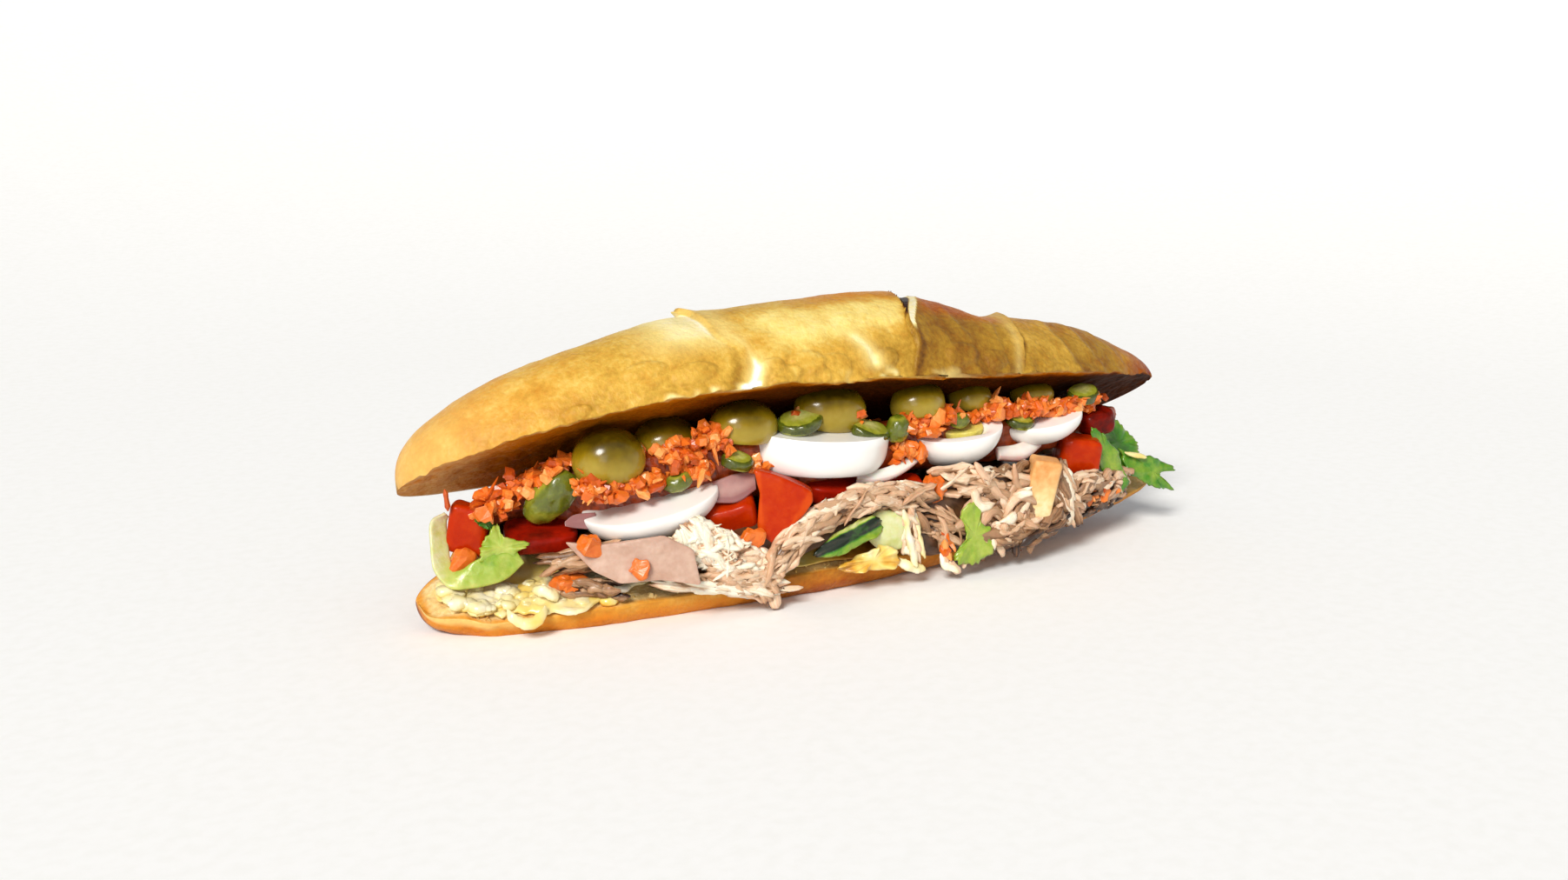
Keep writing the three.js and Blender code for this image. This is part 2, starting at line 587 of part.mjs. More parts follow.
// The pieces laid in by hand, front ones first: each is cut clear of those before it
const PIECES = [
  {
    name: 'tuna_slice', look: TUNA_SLICE, make: slab,
    at: [-69.6, -36.5, 16.4], turn: [-14, 0, -20],
    thick: 3,
    outline: [[-16.4, 5.6], [7.6, 6.8], [15, 1.4], [15.4, -6.6], [5, -3.8], [-5.5, -3.4], [-11.5, 0.2]],
  },
  {
    name: 'tuna_chunk', look: TUNA, make: pebble,
    at: [64.6, -29.4, 23.3], size: [10.5, 8, 17.5], turn: [8, 8, -20],
    plan: 0.5, side: 0.45, sides: 8, rings: 5,
  },
  {
    name: 'tomato_4', look: TOMATO, make: slab,
    at: [-25.4, -31, 26.1], turn: [-6, 0, -26],
    thick: 10, bevel: 1.2,
    outline: [[-7.4, 11.3], [2, 10.8], [9.6, 5.6], [7, 0], [-1.8, -10.6], [-8.8, -2.6]],
  },
  {
    name: 'carrot_bit_1', ...CARROT_FORM,
    at: [-82.7, -32, 24.6], size: [7, 5, 4.4], turn: [10, 24, 10],
  },
  {
    name: 'carrot_bit_2', ...CARROT_FORM,
    at: [-71.6, -39.6, 18.3], size: [5.6, 2.6, 5], turn: [-14, 30, -20],
  },
  {
    name: 'carrot_bit_3', ...CARROT_FORM,
    at: [-36.6, -37.5, 22.4], size: [6, 4, 5], turn: [0, 20, 0],
  },
  {
    name: 'carrot_bit_4', ...CARROT_FORM,
    at: [-87.4, -26.5, 12.4], size: [9, 6.5, 4.6], turn: [10, 8, 12],
  },
  {
    name: 'carrot_bit_5', ...CARROT_FORM,
    at: [-114.6, -13.6, 18.4], size: [6, 4, 7], turn: [0, 16, 0],
  },
  {
    name: 'carrot_bit_6', ...CARROT_FORM,
    at: [25.3, -33.2, 28.4], size: [7, 5, 7.5], turn: [0, -24, 0],
  },
  {
    name: 'egg_white_1', ...EGG_FORM,
    at: [-62, -23.5, 31.8], size: [40, 26, 20], turn: [8, -11, -6],
    high: 0.1,
  },
  {
    name: 'egg_white_2', ...EGG_FORM,
    at: [-7.8, -23, 46.6], size: [43, 28, 26], turn: [4, 4, -4],
    low: 0.85, high: 0.08, side: 0.6,
  },
  {
    name: 'egg_white_3', ...EGG_FORM,
    at: [38.2, -23, 43], size: [31, 22, 24], turn: [10, -5, -8],
    high: 0.06, hollow: 'egg_yolk',
  },
  {
    name: 'egg_white_4', ...EGG_FORM,
    at: [72, -21, 42.8], size: [27, 20, 16], turn: [4, -10, -6],
    high: 0.08, sides: 12,
  },
  {
    name: 'onion_1', ...ONION_FORM,
    thick: 1.6, wave: 0.3, steps: 5,
    lower: [[-44, -27.5, 31.6], [-38, -29.5, 31.2], [-32, -29, 34]],
    upper: [[-44, -25.5, 35.8], [-38, -26.5, 37.6], [-31.4, -26.5, 38]],
  },
  {
    name: 'onion_2', ...ONION_FORM,
    thick: 2.4, wave: 0.2, steps: 7,
    lower: [[1.2, -31, 30.4], [8, -32, 30.4], [16, -31, 31.8], [25.6, -27, 36]],
    upper: [[2.2, -28, 34.6], [8, -28.5, 35], [16, -28, 36.8], [25.4, -25.5, 39.4]],
  },
  {
    name: 'onion_3', ...ONION_FORM,
    thick: 2.2, wave: 0.2, steps: 5,
    lower: [[51.6, -27, 33.2], [60.6, -27, 32], [69.4, -23, 34.2]],
    upper: [[52.6, -24.5, 36], [61, -23.5, 36], [69.6, -21, 38.4]],
  },
  {
    name: 'onion_4', ...ONION_FORM,
    thick: 1.8, wave: 0.3, steps: 5,
    lower: [[-92.4, -21, 28], [-86.6, -24, 26.8], [-79.6, -25, 26]],
    upper: [[-92, -18, 33], [-86.6, -20, 33], [-80, -22, 31]],
  },
  {
    name: 'gherkin_1', ...GHERKIN_FORM,
    at: [-88.9, -16.5, 35], size: [19, 9, 11], turn: [10, -52, -14],
    side: 0.8, sides: 10, rings: 6,
  },
  {
    name: 'gherkin_2', ...GHERKIN_FORM,
    at: [-54.6, -27, 37.8], size: [9, 6, 5.4], turn: [16, -14, 0],
  },
  {
    name: 'gherkin_3', ...GHERKIN_FORM,
    at: [-36.9, -28, 42.2], size: [9.6, 7.6, 3.6], turn: [24, 8, -16],
    side: 0.5,
  },
  {
    name: 'gherkin_4', ...GHERKIN_FORM,
    at: [-16.5, -27, 51.3], size: [14, 10, 4], turn: [20, -10, 0],
    side: 0.5,
  },
  {
    name: 'gherkin_5', ...GHERKIN_FORM,
    at: [5.6, -29, 46.8], size: [13, 9, 4], turn: [26, 14, 0],
    side: 0.5,
  },
  {
    name: 'gherkin_6', ...GHERKIN_FORM,
    at: [14.9, -29, 46.8], size: [7.4, 7, 9], turn: [0, 8, 0],
  },
  {
    name: 'gherkin_7', ...GHERKIN_FORM,
    at: [37.4, -27, 46.8], size: [7, 5.6, 5], turn: [0, 0, 0],
  },
  {
    name: 'gherkin_8', ...GHERKIN_FORM,
    at: [88.2, -19.6, 48.8], size: [11, 9, 3.6], turn: [22, -6, 0],
    side: 0.5,
  },
  {
    name: 'gherkin_9', ...GHERKIN_FORM,
    at: [61.4, -24.6, 43.6], size: [9.6, 7.6, 3.4], turn: [24, 4, 0],
    side: 0.5,
  },
  {
    name: 'olive_1', ...OLIVE_FORM,
    at: [-73.4, -22, 45.2], size: [21, 19, 18.5], turn: [-6, -4, 0],
    low: 0.7,
  },
  {
    name: 'olive_2', ...OLIVE_FORM,
    at: [-54.2, -15.6, 47], size: [19, 17, 15.4], turn: [0, -8, 0],
    low: 0.6,
  },
  {
    name: 'olive_3', ...OLIVE_FORM,
    at: [-32.2, -22.6, 51], size: [20.4, 17, 15.4], turn: [0, 6, 0],
    low: 0.6,
  },
  {
    name: 'olive_4', ...OLIVE_FORM,
    at: [-4.1, -22, 52.8], size: [23, 17, 17], turn: [0, 10, 0],
    low: 0.7,
  },
  {
    name: 'olive_5', ...OLIVE_FORM,
    at: [25.8, -22, 51.8], size: [17.4, 15, 15.4], turn: [0, -4, 0],
    low: 0.35,
  },
  {
    name: 'olive_6', ...OLIVE_FORM,
    at: [46.8, -18, 51], size: [14, 13, 11], turn: [0, 0, 0],
    low: 0.6,
  },
  {
    name: 'olive_7', ...OLIVE_FORM,
    at: [71.2, -16, 49.6], size: [15, 12, 10], turn: [0, 4, 0],
    low: 0.6,
  },
  {
    name: 'lettuce_1', ...LEAF_FORM,
    thick: 1.3, wave: 0.9, steps: 12, rows: 3, rib: 3,
    lower: [
      [-117, -3, 14.2], [-117.4, -10, 12.6], [-110.4, -13.4, 12.2], [-103.4, -15.4, 12.6], [-97.8, -17, 13.6],
    ],
    upper: [
      [-119, -4, 29.4], [-120.4, -9.6, 28.6], [-111, -13, 18], [-104.6, -15, 27.6], [-96.8, -19, 22.6],
    ],
  },
  {
    name: 'lettuce_2', ...LEAF_FORM,
    thick: 1.4, wave: 0.6, steps: 9, rows: 2,
    lower: [[-14, -38.4, 12.2], [-6.5, -39.6, 12.2], [0, -39, 14.6], [4.6, -37.6, 18]],
    upper: [[-13, -37.6, 15.6], [-5.5, -38, 18.6], [2, -37, 20.8], [5, -36.6, 21.6]],
  },
  {
    name: 'lettuce_rib', look: LETTUCE, make: pebble,
    at: [9.8, -37, 16.8], size: [11, 4.6, 10], turn: [0, 12, -10],
    side: 0.7,
  },
  {
    name: 'lettuce_3', ...LEAF_FORM,
    thick: 1.3, wave: 1.2, steps: 8, rows: 4,
    lower: [[31.6, -38.6, 9], [37.2, -39, 5], [44.2, -37.4, 8.6]],
    upper: [[33.8, -37.4, 17], [39, -36.4, 22.4], [43, -36.2, 16]],
  },
  {
    name: 'tomato_7', ...TOMATO_FORM,
    at: [86.4, -19.5, 29.3], size: [14, 11, 12.6], turn: [6, 6, -20],
    plan: 0.4, side: 0.4,
  },
  {
    name: 'tomato_1', ...TOMATO_FORM,
    at: [-110.6, -8, 26.6], size: [11, 9, 13.6], turn: [0, 12, -20],
    plan: 0.4, side: 0.4,
  },
  {
    name: 'lettuce_4', ...LEAF_FORM,
    thick: 1.2, wave: 0.8, steps: 9, rows: 3,
    lower: [[92.6, -20.6, 35.4], [94.6, -22.6, 26.7], [101, -22.6, 14.6]],
    upper: [[99.1, -17.6, 35.8], [104.5, -19.4, 25.9], [107.6, -19.6, 15.4]],
  },
  {
    name: 'lettuce_5', ...LEAF_FORM,
    thick: 1.2, wave: 0.9, steps: 9, rows: 3,
    lower: [[106.6, -11, 27.4], [115.6, -14, 18.4], [125.6, -18, 13.6]],
    upper: [[108.6, -8, 34.6], [116.6, -12, 25.8], [127.6, -17, 18.6]],
  },
  {
    name: 'tomato_3', ...TOMATO_FORM,
    at: [-38.4, -25.5, 26.2], size: [15, 13, 9.6], turn: [10, -18, -16],
    plan: 0.45, side: 0.4,
  },
  {
    name: 'tomato_5', ...TOMATO_FORM,
    at: [-5.4, -24.5, 29], size: [17, 14, 6.6], turn: [14, 6, -10],
    plan: 0.5, side: 0.4,
  },
  {
    name: 'tomato_6', ...TOMATO_FORM,
    at: [18, -27, 27.3], size: [12, 11, 6.4], turn: [10, -6, -20],
    plan: 0.5, side: 0.4,
  },
  {
    name: 'tomato_2', ...TOMATO_FORM,
    at: [-91.7, -13.5, 23.1], size: [20, 15, 5.6], turn: [12, -4, -12],
    plan: 0.5, side: 0.4,
  },
  {
    name: 'tomato_8', ...TOMATO_FORM,
    at: [96, -16, 38.4], size: [11, 10, 8], turn: [6, -8, 0],
    plan: 0.45, side: 0.45,
  },
];

const YOLK = {
  name: 'egg_yolk',
  at: [40, -22.6, 43.4], size: [15.5, 12.5, 13], turn: [10, -5, -8],
  high: 0.1,
};

// Scraps of tuna that hang down past the base's rim, fused to the tuna behind them
const SCRAPS = [
  { at: [-36, -40, 9.6], length: 16, width: 4, thick: 4, turn: [84, -8, 4], bend: 0.6 },
  { at: [-32.6, -41.6, 5.8], length: 9.6, width: 4.4, thick: 3, turn: [90, 78, 0], bend: 0.4 },
  { at: [20, -37.4, 5.4], length: 12, width: 5, thick: 3.4, turn: [90, 24, 0], bend: 0.8 },
  { at: [28, -37.6, 8.4], length: 11, width: 4, thick: 3.6, turn: [86, -10, 0], bend: 0.4 },
  { at: [28.8, -39, 5.6], length: 8.6, width: 4, thick: 3, turn: [90, 66, 0], bend: 0.4 },
];

// The strips that show on a heap: each starts inside its core, and one that meets a neighbour is skipped
function addStrips(core, obstacles, count, propose) {
  let heap = core;
  let blocked = obstacles;
  let added = 0;
  for (let tries = 0; added < count && tries < 8 * count; tries += 1) {
    const form = propose();
    const piece = toSolid(strip(form));
    if (!isEmpty(toSolid(strip(form, GAP)).intersect(blocked)) || isEmpty(piece.intersect(core))) continue;
    heap = heap.add(piece);
    blocked = blocked.add(piece);
    added += 1;
  }
  return heap;
}

// A strip of fish on the front or back of the tuna: the long strands slope up to the right, and some hang
// down over the base's rim
function proposeFlake(random) {
  const s = lerp(FILLING_START + 0.04, FILLING_END - 0.03, random());
  const x = s * LID_HALF_LENGTH;
  const [back, hanging] = [random() < 0.14, random() < 0.26 && s > -0.45];
  const rise = 0.06 + 0.92 * random();
  const y = back ? fillingBack(s) - 2.6 * rise : tunaFront(s) + (hanging ? 0.1 : 3 * rise - 0.6);
  const [low, high] = [baseHeight(x, y) + SPREAD + 1.5, seamHeight(x, y)];
  const size = 0.7 + 0.6 * random();
  const slope = -12 + 60 * (random() - 0.5);
  return {
    at: [x, y, hanging ? low - 0.5 : lerp(low, high, rise)],
    length: FLAKE.length * (hanging ? 0.8 : size),
    width: FLAKE.width * (0.8 + 0.4 * random()),
    thick: FLAKE.thick * (hanging ? 0.9 : size),
    turn: [hanging ? 90 : 70 + 50 * (random() - 0.5), hanging ? 62 + slope : slope, 30 * (random() - 0.5)],
    bend: 2.4 * random() * (hanging ? -1 : 1),
    parts: 2,
  };
}

// A shred of carrot on the front or the top of the carrot heap
function proposeShred(random) {
  const s = lerp(FILLING_START + 0.03, FILLING_END - 0.01, random());
  const x = s * LID_HALF_LENGTH;
  const near = carrotFront(s);
  const y = near + 13 * random() ** 1.6;
  const top = carrotTop(x, y);
  const onTop = random() < 0.6;
  return {
    at: onTop ? [x, y, top] : [x, near + 0.5, lerp(seamHeight(x, near) + 2, top, random())],
    length: SHRED.length * (0.7 + 0.6 * random()),
    width: SHRED.width,
    thick: SHRED.thick,
    turn: [180 * random(), 70 * (random() - 0.5), 180 * random()],
    bend: 0.6,
  };
}

function build() {
  const lid = lidShell(0);
  const base = baseShell(0);
  addNode('bread_base', base, UNDERSIDE);
  addNode('bread_lid', lid, CRUST);
  addNode('mayonnaise', mayonnaise(0), SAUCE);

  let taken = toSolid(lidShell(GAP)).add(toSolid(baseShell(GAP))).add(toSolid(mayonnaise(GAP)));
  const bread = taken;
  for (const { name, look, make, hollow, ...form } of PIECES) {
    let solid = toSolid(make(form)).subtract(taken);
    if (hollow) solid = solid.subtract(toSolid(pebble(YOLK, GAP)));
    addNode(name, toGeometry(solid), look);
    taken = taken.add(toSolid(make(form, GAP)));
  }
  addNode(YOLK.name, toGeometry(toSolid(pebble(YOLK)).subtract(bread)), EGG_YOLK);

  const tuna = SCRAPS.reduce((heap, form) => heap.add(toSolid(strip(form))), toSolid(tunaCore()));
  const carrot = toSolid(carrotCore());
  const flakes = addStrips(tuna, taken.add(carrot), FLAKE_COUNT, () => proposeFlake(randomFlake));
  const shreds = addStrips(carrot, taken.add(flakes), SHRED_COUNT, () => proposeShred(randomShred));
  addNode('tuna_flakes', toGeometry(flakes.subtract(taken)), TUNA);
  addNode('grated_carrot', toGeometry(shreds.subtract(taken)), CARROT);
}

const randomFlake = stream(17);
const randomShred = stream(91);
build();

// The origin is under the middle of the whole, on the surface it stands on
const bounds = new THREE.Box3().setFromObject(bocadillo);
const middle = bounds.getCenter(new THREE.Vector3());
bocadillo.position.set(-middle.x, -middle.y, -bounds.min.z);
root.updateMatrixWorld(true);

export default root;
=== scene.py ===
import math

import bpy
import numpy as np
from bpy.props import FloatProperty, FloatVectorProperty, IntProperty, PointerProperty
from mathutils import Matrix, Vector


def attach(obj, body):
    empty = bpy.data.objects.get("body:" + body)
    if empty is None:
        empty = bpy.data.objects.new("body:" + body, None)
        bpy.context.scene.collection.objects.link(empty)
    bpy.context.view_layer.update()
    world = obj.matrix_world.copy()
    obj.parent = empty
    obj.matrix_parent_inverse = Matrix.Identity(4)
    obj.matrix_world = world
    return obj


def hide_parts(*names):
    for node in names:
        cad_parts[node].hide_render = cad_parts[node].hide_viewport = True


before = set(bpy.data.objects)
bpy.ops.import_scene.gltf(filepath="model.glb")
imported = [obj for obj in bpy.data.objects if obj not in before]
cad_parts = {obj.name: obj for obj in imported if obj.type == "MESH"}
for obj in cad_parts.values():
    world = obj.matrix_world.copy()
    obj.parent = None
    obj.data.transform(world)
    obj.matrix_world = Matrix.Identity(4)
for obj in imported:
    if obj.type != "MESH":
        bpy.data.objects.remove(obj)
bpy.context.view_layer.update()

bl_info = {
    "name": "Bocadillo",
    "version": (1, 0, 0),
    "blender": (4, 5, 0),
    "location": "3D View > Sidebar > Bocadillo",
    "description": "Dresses the solids of a filled roll with crust, crumb and filling",
    "category": "Add Mesh",
}

MM = 0.001

# Where the middle of the roll's cut lies in the frame, in millimetres
ROLL_ORIGIN = np.array([0.427, 6.467, 0.0])

# The camera that sees the roll as the photograph does
CAMERA_TARGET = (-8.7, 0.0, 39.4)
CAMERA_AZIMUTH = -25.5
CAMERA_ELEVATION = 13.5
CAMERA_DISTANCE = 505.0
CAMERA_LENS = 37.6

# Driving dimensions of the roll, as the solids have them
LID = {"half_length": 127.6, "middle": -0.9, "half_width": 36.0, "thickness": 36.0, "tilt": 32.0,
       "height": 45.9}
BASE = {"half_length": 126.6, "middle": 0.4, "half_width": 34.0, "thickness": 16.0, "tilt": 12.0,
        "height": 15.3}
# The dish of the lid's cut face, the gap between pieces that touch, the thickness of the mayonnaise, and
# the seam between the two heaps
CRUMB_DISH = 1.5
GAP = 0.35
SPREAD = 2.2
SEAM = 1.1
# How far the tuna stands out past the base's rim and droops over it
TUNA_OVERHANG = 3.2
TUNA_DROOP = 7.5
# Where the filling starts and ends, as shares of the half length
FILLING_START = -0.84
FILLING_END = 0.87
# How far the carrot reaches to the front and both heaps to the back, as shares of the half width
CARROT_REACH = 0.72
BACK_REACH = 0.68

# The floor is flat round the roll and rises like a wide bowl from there to its edge, in metres
FLOOR_FLAT = 0.4
FLOOR_REACH = 2.6
FLOOR_RISE = 0.7

# Places of the lights and what they look at, in metres, and the size and strength of the small one
SUN_PLACE = (-0.62, -0.62, 0.74)
WINDOW_PLACE = (-0.5, -0.85, 0.3)
LIT_PLACE = (0, 0, 0.04)
WINDOW_SIZE = 0.35
WINDOW_STRENGTH = 0.8

# Slashes in the lid. Each follows a column of the crust's grid, given by angle up from the front rim and
# share of the half length. Its edge wanders off that column by millimetres. It has a lip on each side that
# fades out in millimetres, and a groove on one side of the edge with a floor and a sloping face.
SLASHES = (
    {"angles": (0, 8, 18, 33, 67, 110, 180), "shares": (-0.29, -0.265, -0.267, -0.29, -0.32, -0.33, -0.33),
     "edge_angles": (0, 16, 21, 28, 38, 52, 67), "edge": (0, -1.2, -2.6, -3.8, -2.6, -2.0, 0.3),
     "left": 0.2, "right": 1.1, "left_fade": 6, "right_fade": 18, "grow": (22, 64),
     "side": -1, "depth": 0.6, "floor": 1.0, "face": 8.0, "ends": (104, 128)},
    {"angles": (0, 10, 23, 42, 61, 110, 180), "shares": (0.128, 0.153, 0.153, 0.19, 0.222, 0.306, 0.32),
     "edge_angles": (0, 10, 36, 66), "edge": (1.0, 1.5, 1.0, -1.6),
     "left": 1.1, "right": 3.7, "left_fade": 15, "right_fade": 6, "grow": (-1, 0),
     "side": 1, "depth": 3.0, "floor": 2.4, "face": 6.0, "ends": (100, 126)},
    {"angles": (0, 24, 42, 80, 180), "shares": (0.46, 0.482, 0.495, 0.53, 0.545),
     "edge_angles": (0, 6, 17, 30, 60), "edge": (0.1, 1.0, 1.4, 0.7, 0.7),
     "left": 1.7, "right": 0.1, "left_fade": 5, "right_fade": 4, "grow": (-1, 0),
     "side": 1, "depth": 0.9, "floor": 0.7, "face": 3.0, "ends": (92, 118)},
)

# Soft folds on the right half of the lid: share of the half length, lean in millimetres for each degree up,
# height
FOLDS = ((0.26, 0.12, 0.35), (0.33, 0.14, 0.4), (0.43, 0.1, 0.4), (0.645, 0.15, 0.65), (0.73, 0.12, 0.5),
         (0.82, 0.13, 0.45))


def linear(code):
    """An sRGB hex colour as linear red, green, blue and alpha."""
    parts = [int(code[i:i + 2], 16) / 255 for i in (1, 3, 5)]
    return tuple(c / 12.92 if c <= 0.04045 else ((c + 0.055) / 1.055) ** 2.4 for c in parts) + (1.0,)


def smoothstep(value, low, high):
    """0 below low, 1 above high, and a smooth S between."""
    t = np.clip((value - low) / (high - low), 0, 1)
    return t * t * (3 - 2 * t)


def fade(value, low, high):
    """1 below low, 0 above high, and a smooth S between."""
    return 1 - smoothstep(value, low, high)


def band(value, start, full, fading, end):
    """0 before its start, 1 from full to fading, and 0 past its end."""
    return smoothstep(value, start, full) * fade(value, fading, end)


def lerp(a, b, t):
    return a + (b - a) * t


def power(value, exponent):
    """A power that keeps the sign, for rounded corners."""
    return np.sign(value) * np.abs(value) ** exponent


def hill(value, middle, width):
    """1 at its middle, fading to nothing over about twice its width."""
    return np.exp(-(((value - middle) / width) ** 2))


def soft_noise(points, size, seed, octaves=1):
    """Unevenness from -1 to 1: a random number at each corner of cubes of that size, blended between them,
    with each further octave half the size and half the height."""
    table = np.random.default_rng(seed).uniform(-1, 1, (32, 32, 32))
    total = np.zeros(points.shape[:-1])
    for octave in range(octaves):
        at = points * (2 ** octave / size) + 11.7 * octave
        low = np.floor(at).astype(int)
        part = at - low
        part = part * part * (3 - 2 * part)
        value = np.zeros(points.shape[:-1])
        for corner in range(8):
            step = np.array([corner & 1, corner >> 1 & 1, corner >> 2 & 1])
            share = np.where(step, part, 1 - part).prod(-1)
            index = (low + step) % 32
            value += share * table[index[..., 0], index[..., 1], index[..., 2]]
        total += value / 2 ** octave
    return total / (2 - 2.0 ** (1 - octaves))


def turn_matrix(turn):
    """Degrees about X, Y and Z, the Z turn first."""
    x, y, z = (Matrix.Rotation(math.radians(angle), 3, axis) for angle, axis in zip(turn, "XYZ"))
    return np.array(x @ y @ z)


def random_turns(rng, count):
    """Evenly spread turns: unit quaternions drawn at random, as 3 x 3 matrices."""
    drawn = rng.normal(size=(4, count))
    w, x, y, z = drawn / np.linalg.norm(drawn, axis=0)
    rows = [
        [1 - 2 * (y * y + z * z), 2 * (x * y - z * w), 2 * (x * z + y * w)],
        [2 * (x * y + z * w), 1 - 2 * (x * x + z * z), 2 * (y * z - x * w)],
        [2 * (x * z - y * w), 2 * (y * z + x * w), 1 - 2 * (x * x + y * y)],
    ]
    return np.moveaxis(np.array(rows), 2, 0)


def unit(vectors):
    return vectors / np.maximum(np.linalg.norm(vectors, axis=-1, keepdims=True), 1e-9)


class Shell:
    """Closed surfaces as whole arrays: points, quads, triangles, and named values for each point."""

    def __init__(self, points, quads, triangles, values):
        self.points, self.quads, self.triangles, self.values = points, quads, triangles, values

    def facing_out(self):
        """Every face turned over if the volume that they enclose comes out negative."""
        a, b, c, d = (self.points[self.quads[:, i]] for i in range(4))
        volume = np.einsum("ij,ij->", a, np.cross(b, c)) + np.einsum("ij,ij->", a, np.cross(c, d))
        e, f, g = (self.points[self.triangles[:, i]] for i in range(3))
        if volume + np.einsum("ij,ij->", e, np.cross(f, g)) < 0:
            self.quads, self.triangles = self.quads[:, ::-1], self.triangles[:, ::-1]
        return self


def ring_quads(along, around):
    """Quads between neighbours in a ring and neighbouring rings, for points that are laid out ring by
    ring."""
    i, j = np.meshgrid(np.arange(along - 1), np.arange(around), indexing="ij")
    k = (j + 1) % around
    corners = [i * around + j, i * around + k, (i + 1) * around + k, (i + 1) * around + j]
    return np.stack(corners, -1).reshape(-1, 4)


def closed_rings(rings, **values):
    """Rings of points become closed shells, one for each copy: neighbours in a ring and neighbouring rings
    are joined by quads, and each end closes on the mean of its ring. rings is (copies, along, around,
    3)."""
    rings = rings[None] if rings.ndim == 3 else rings
    copies, along, around, _ = rings.shape
    points = np.concatenate([rings.reshape(copies, -1, 3), rings[:, [0, -1]].mean(2)], 1)
    last = along * around
    j = np.arange(around)
    k = (j + 1) % around
    first_fan = np.stack([np.full(around, last), k, j], -1)
    last_fan = np.stack([np.full(around, last + 1), last - around + j, last - around + k], -1)
    offset = (np.arange(copies) * (last + 2))[:, None, None]
    spread = {}
    for name, value in values.items():
        value = np.asarray(value, float)
        value = value.reshape(value.shape + (1,) * (3 - value.ndim)) if value.ndim in (0, 1) else value
        full = np.broadcast_to(value, (copies, along, around))
        spread[name] = np.concatenate([full.reshape(copies, -1), full[:, [0, -1]].mean(2)], 1).ravel()
    quads = (ring_quads(along, around) + offset).reshape(-1, 4)
    triangles = (np.concatenate([first_fan, last_fan]) + offset).reshape(-1, 3)
    return Shell(points.reshape(-1, 3), quads, triangles, spread).facing_out()


def together(*shells):
    """Several shells as one, with 0 for a value that one of them lacks."""
    names = sorted({name for shell in shells for name in shell.values})
    points, quads, triangles, values = [], [], [], {name: [] for name in names}
    offset = 0
    for shell in shells:
        points.append(shell.points)
        quads.append(shell.quads + offset)
        triangles.append(shell.triangles + offset)
        for name in names:
            values[name].append(shell.values.get(name, np.zeros(len(shell.points))))
        offset += len(shell.points)
    joined = {name: np.concatenate(parts) for name, parts in values.items()}
    return Shell(np.concatenate(points), np.concatenate(quads), np.concatenate(triangles), joined)


def make_piece(name, shell, material, nodes=(), smooth=True):
    """An object at the origin from a shell in roll millimetres, riding on the body and standing for its
    nodes."""
    mesh = bpy.data.meshes.new(name)
    corners = np.concatenate([shell.quads.ravel(), shell.triangles.ravel()]).astype(np.int32)
    sizes = np.concatenate([np.full(len(shell.quads), 4), np.full(len(shell.triangles), 3)])
    mesh.vertices.add(len(shell.points))
    mesh.vertices.foreach_set("co", ((shell.points + ROLL_ORIGIN) * MM).astype(np.float32).ravel())
    mesh.loops.add(len(corners))
    mesh.loops.foreach_set("vertex_index", corners)
    mesh.polygons.add(len(sizes))
    mesh.polygons.foreach_set("loop_start", np.concatenate([[0], np.cumsum(sizes)[:-1]]).astype(np.int32))
    mesh.update(calc_edges=True)
    if mesh.validate():
        raise RuntimeError(f"{name} has faulty faces")
    for key, value in shell.values.items():
        mesh.attributes.new(key, "FLOAT", "POINT").data.foreach_set("value", value.astype(np.float32))
    mesh.polygons.foreach_set("use_smooth", np.full(len(sizes), smooth))
    mesh.materials.append(material)
    made = bpy.data.objects.new(name, mesh)
    bpy.context.scene.collection.objects.link(made)
    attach(made, "root")
    if nodes:
        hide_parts(*nodes)
    return made


# Forms of the roll


def swell(s, peak, left, right):
    """1 at the widest place and 0 at both tips: one less a power of the share of the way to the tip, raised
    to a second power that is small for a blunt tip."""
    inner = np.where(s < peak, left[0], right[0])
    outer = np.where(s < peak, left[1], right[1])
    far = np.where(s < peak, (peak - s) / (1 + peak), (s - peak) / (1 - peak))
    return np.clip(1 - np.clip(far, 0, None) ** inner, 0, 1) ** outer


def lid_section(s):
    """Half width, thickness, tilt, and the middle of the cut face, at a share of the lid's half length."""
    crest = 2.0 * hill(s, 0.1, 0.2) + 1.2 * hill(s, -0.34, 0.1)
    width = LID["half_width"] * swell(s, 0, (2.55, 0.49), (1.96, 0.52))
    thick = LID["thickness"] * swell(s, 0.2, (1.5, 0.33), (1.35, 0.58)) + crest
    height = LID["height"] - 5.5 * s - 6.5 * s ** 2 + 9.8 * s ** 3 + 2.8 * s ** 4
    return width, thick, np.radians(LID["tilt"] + 3 * s), -5.6 + 2.5 * s * s, height


def base_section(s):
    """The same for the base, which opens a little more at its left end and droops at that tip."""
    fullness = swell(s, -0.17, (2.65, 0.32), (1.75, 0.7))
    droop = np.clip(-s, 0, None) ** 14
    tilt = np.radians(BASE["tilt"] + 3 * (np.sqrt(s * s + 0.04) - s))
    height = BASE["height"] - 0.25 * s - 0.5 * s ** 2 + 1.1 * s ** 3 - 3.3 * s ** 4 - 5.5 * droop
    middle = -1.5 - 4 * s * s - 3 * droop
    return BASE["half_width"] * fullness, BASE["thickness"] * fullness, tilt, middle, height


def base_across(s, across):
    """The way across the base, which bends to the front at its left tip, and how much its front rim lifts
    there."""
    bend = smoothstep(-s, 0.8, 0.95)
    across = -1 + (across + 1) * (1 - 0.4 * bend)
    return across, 3.2 * smoothstep(-s, 0.86, 0.96) * np.clip(0.6 - 0.5 * across, 0, 1)


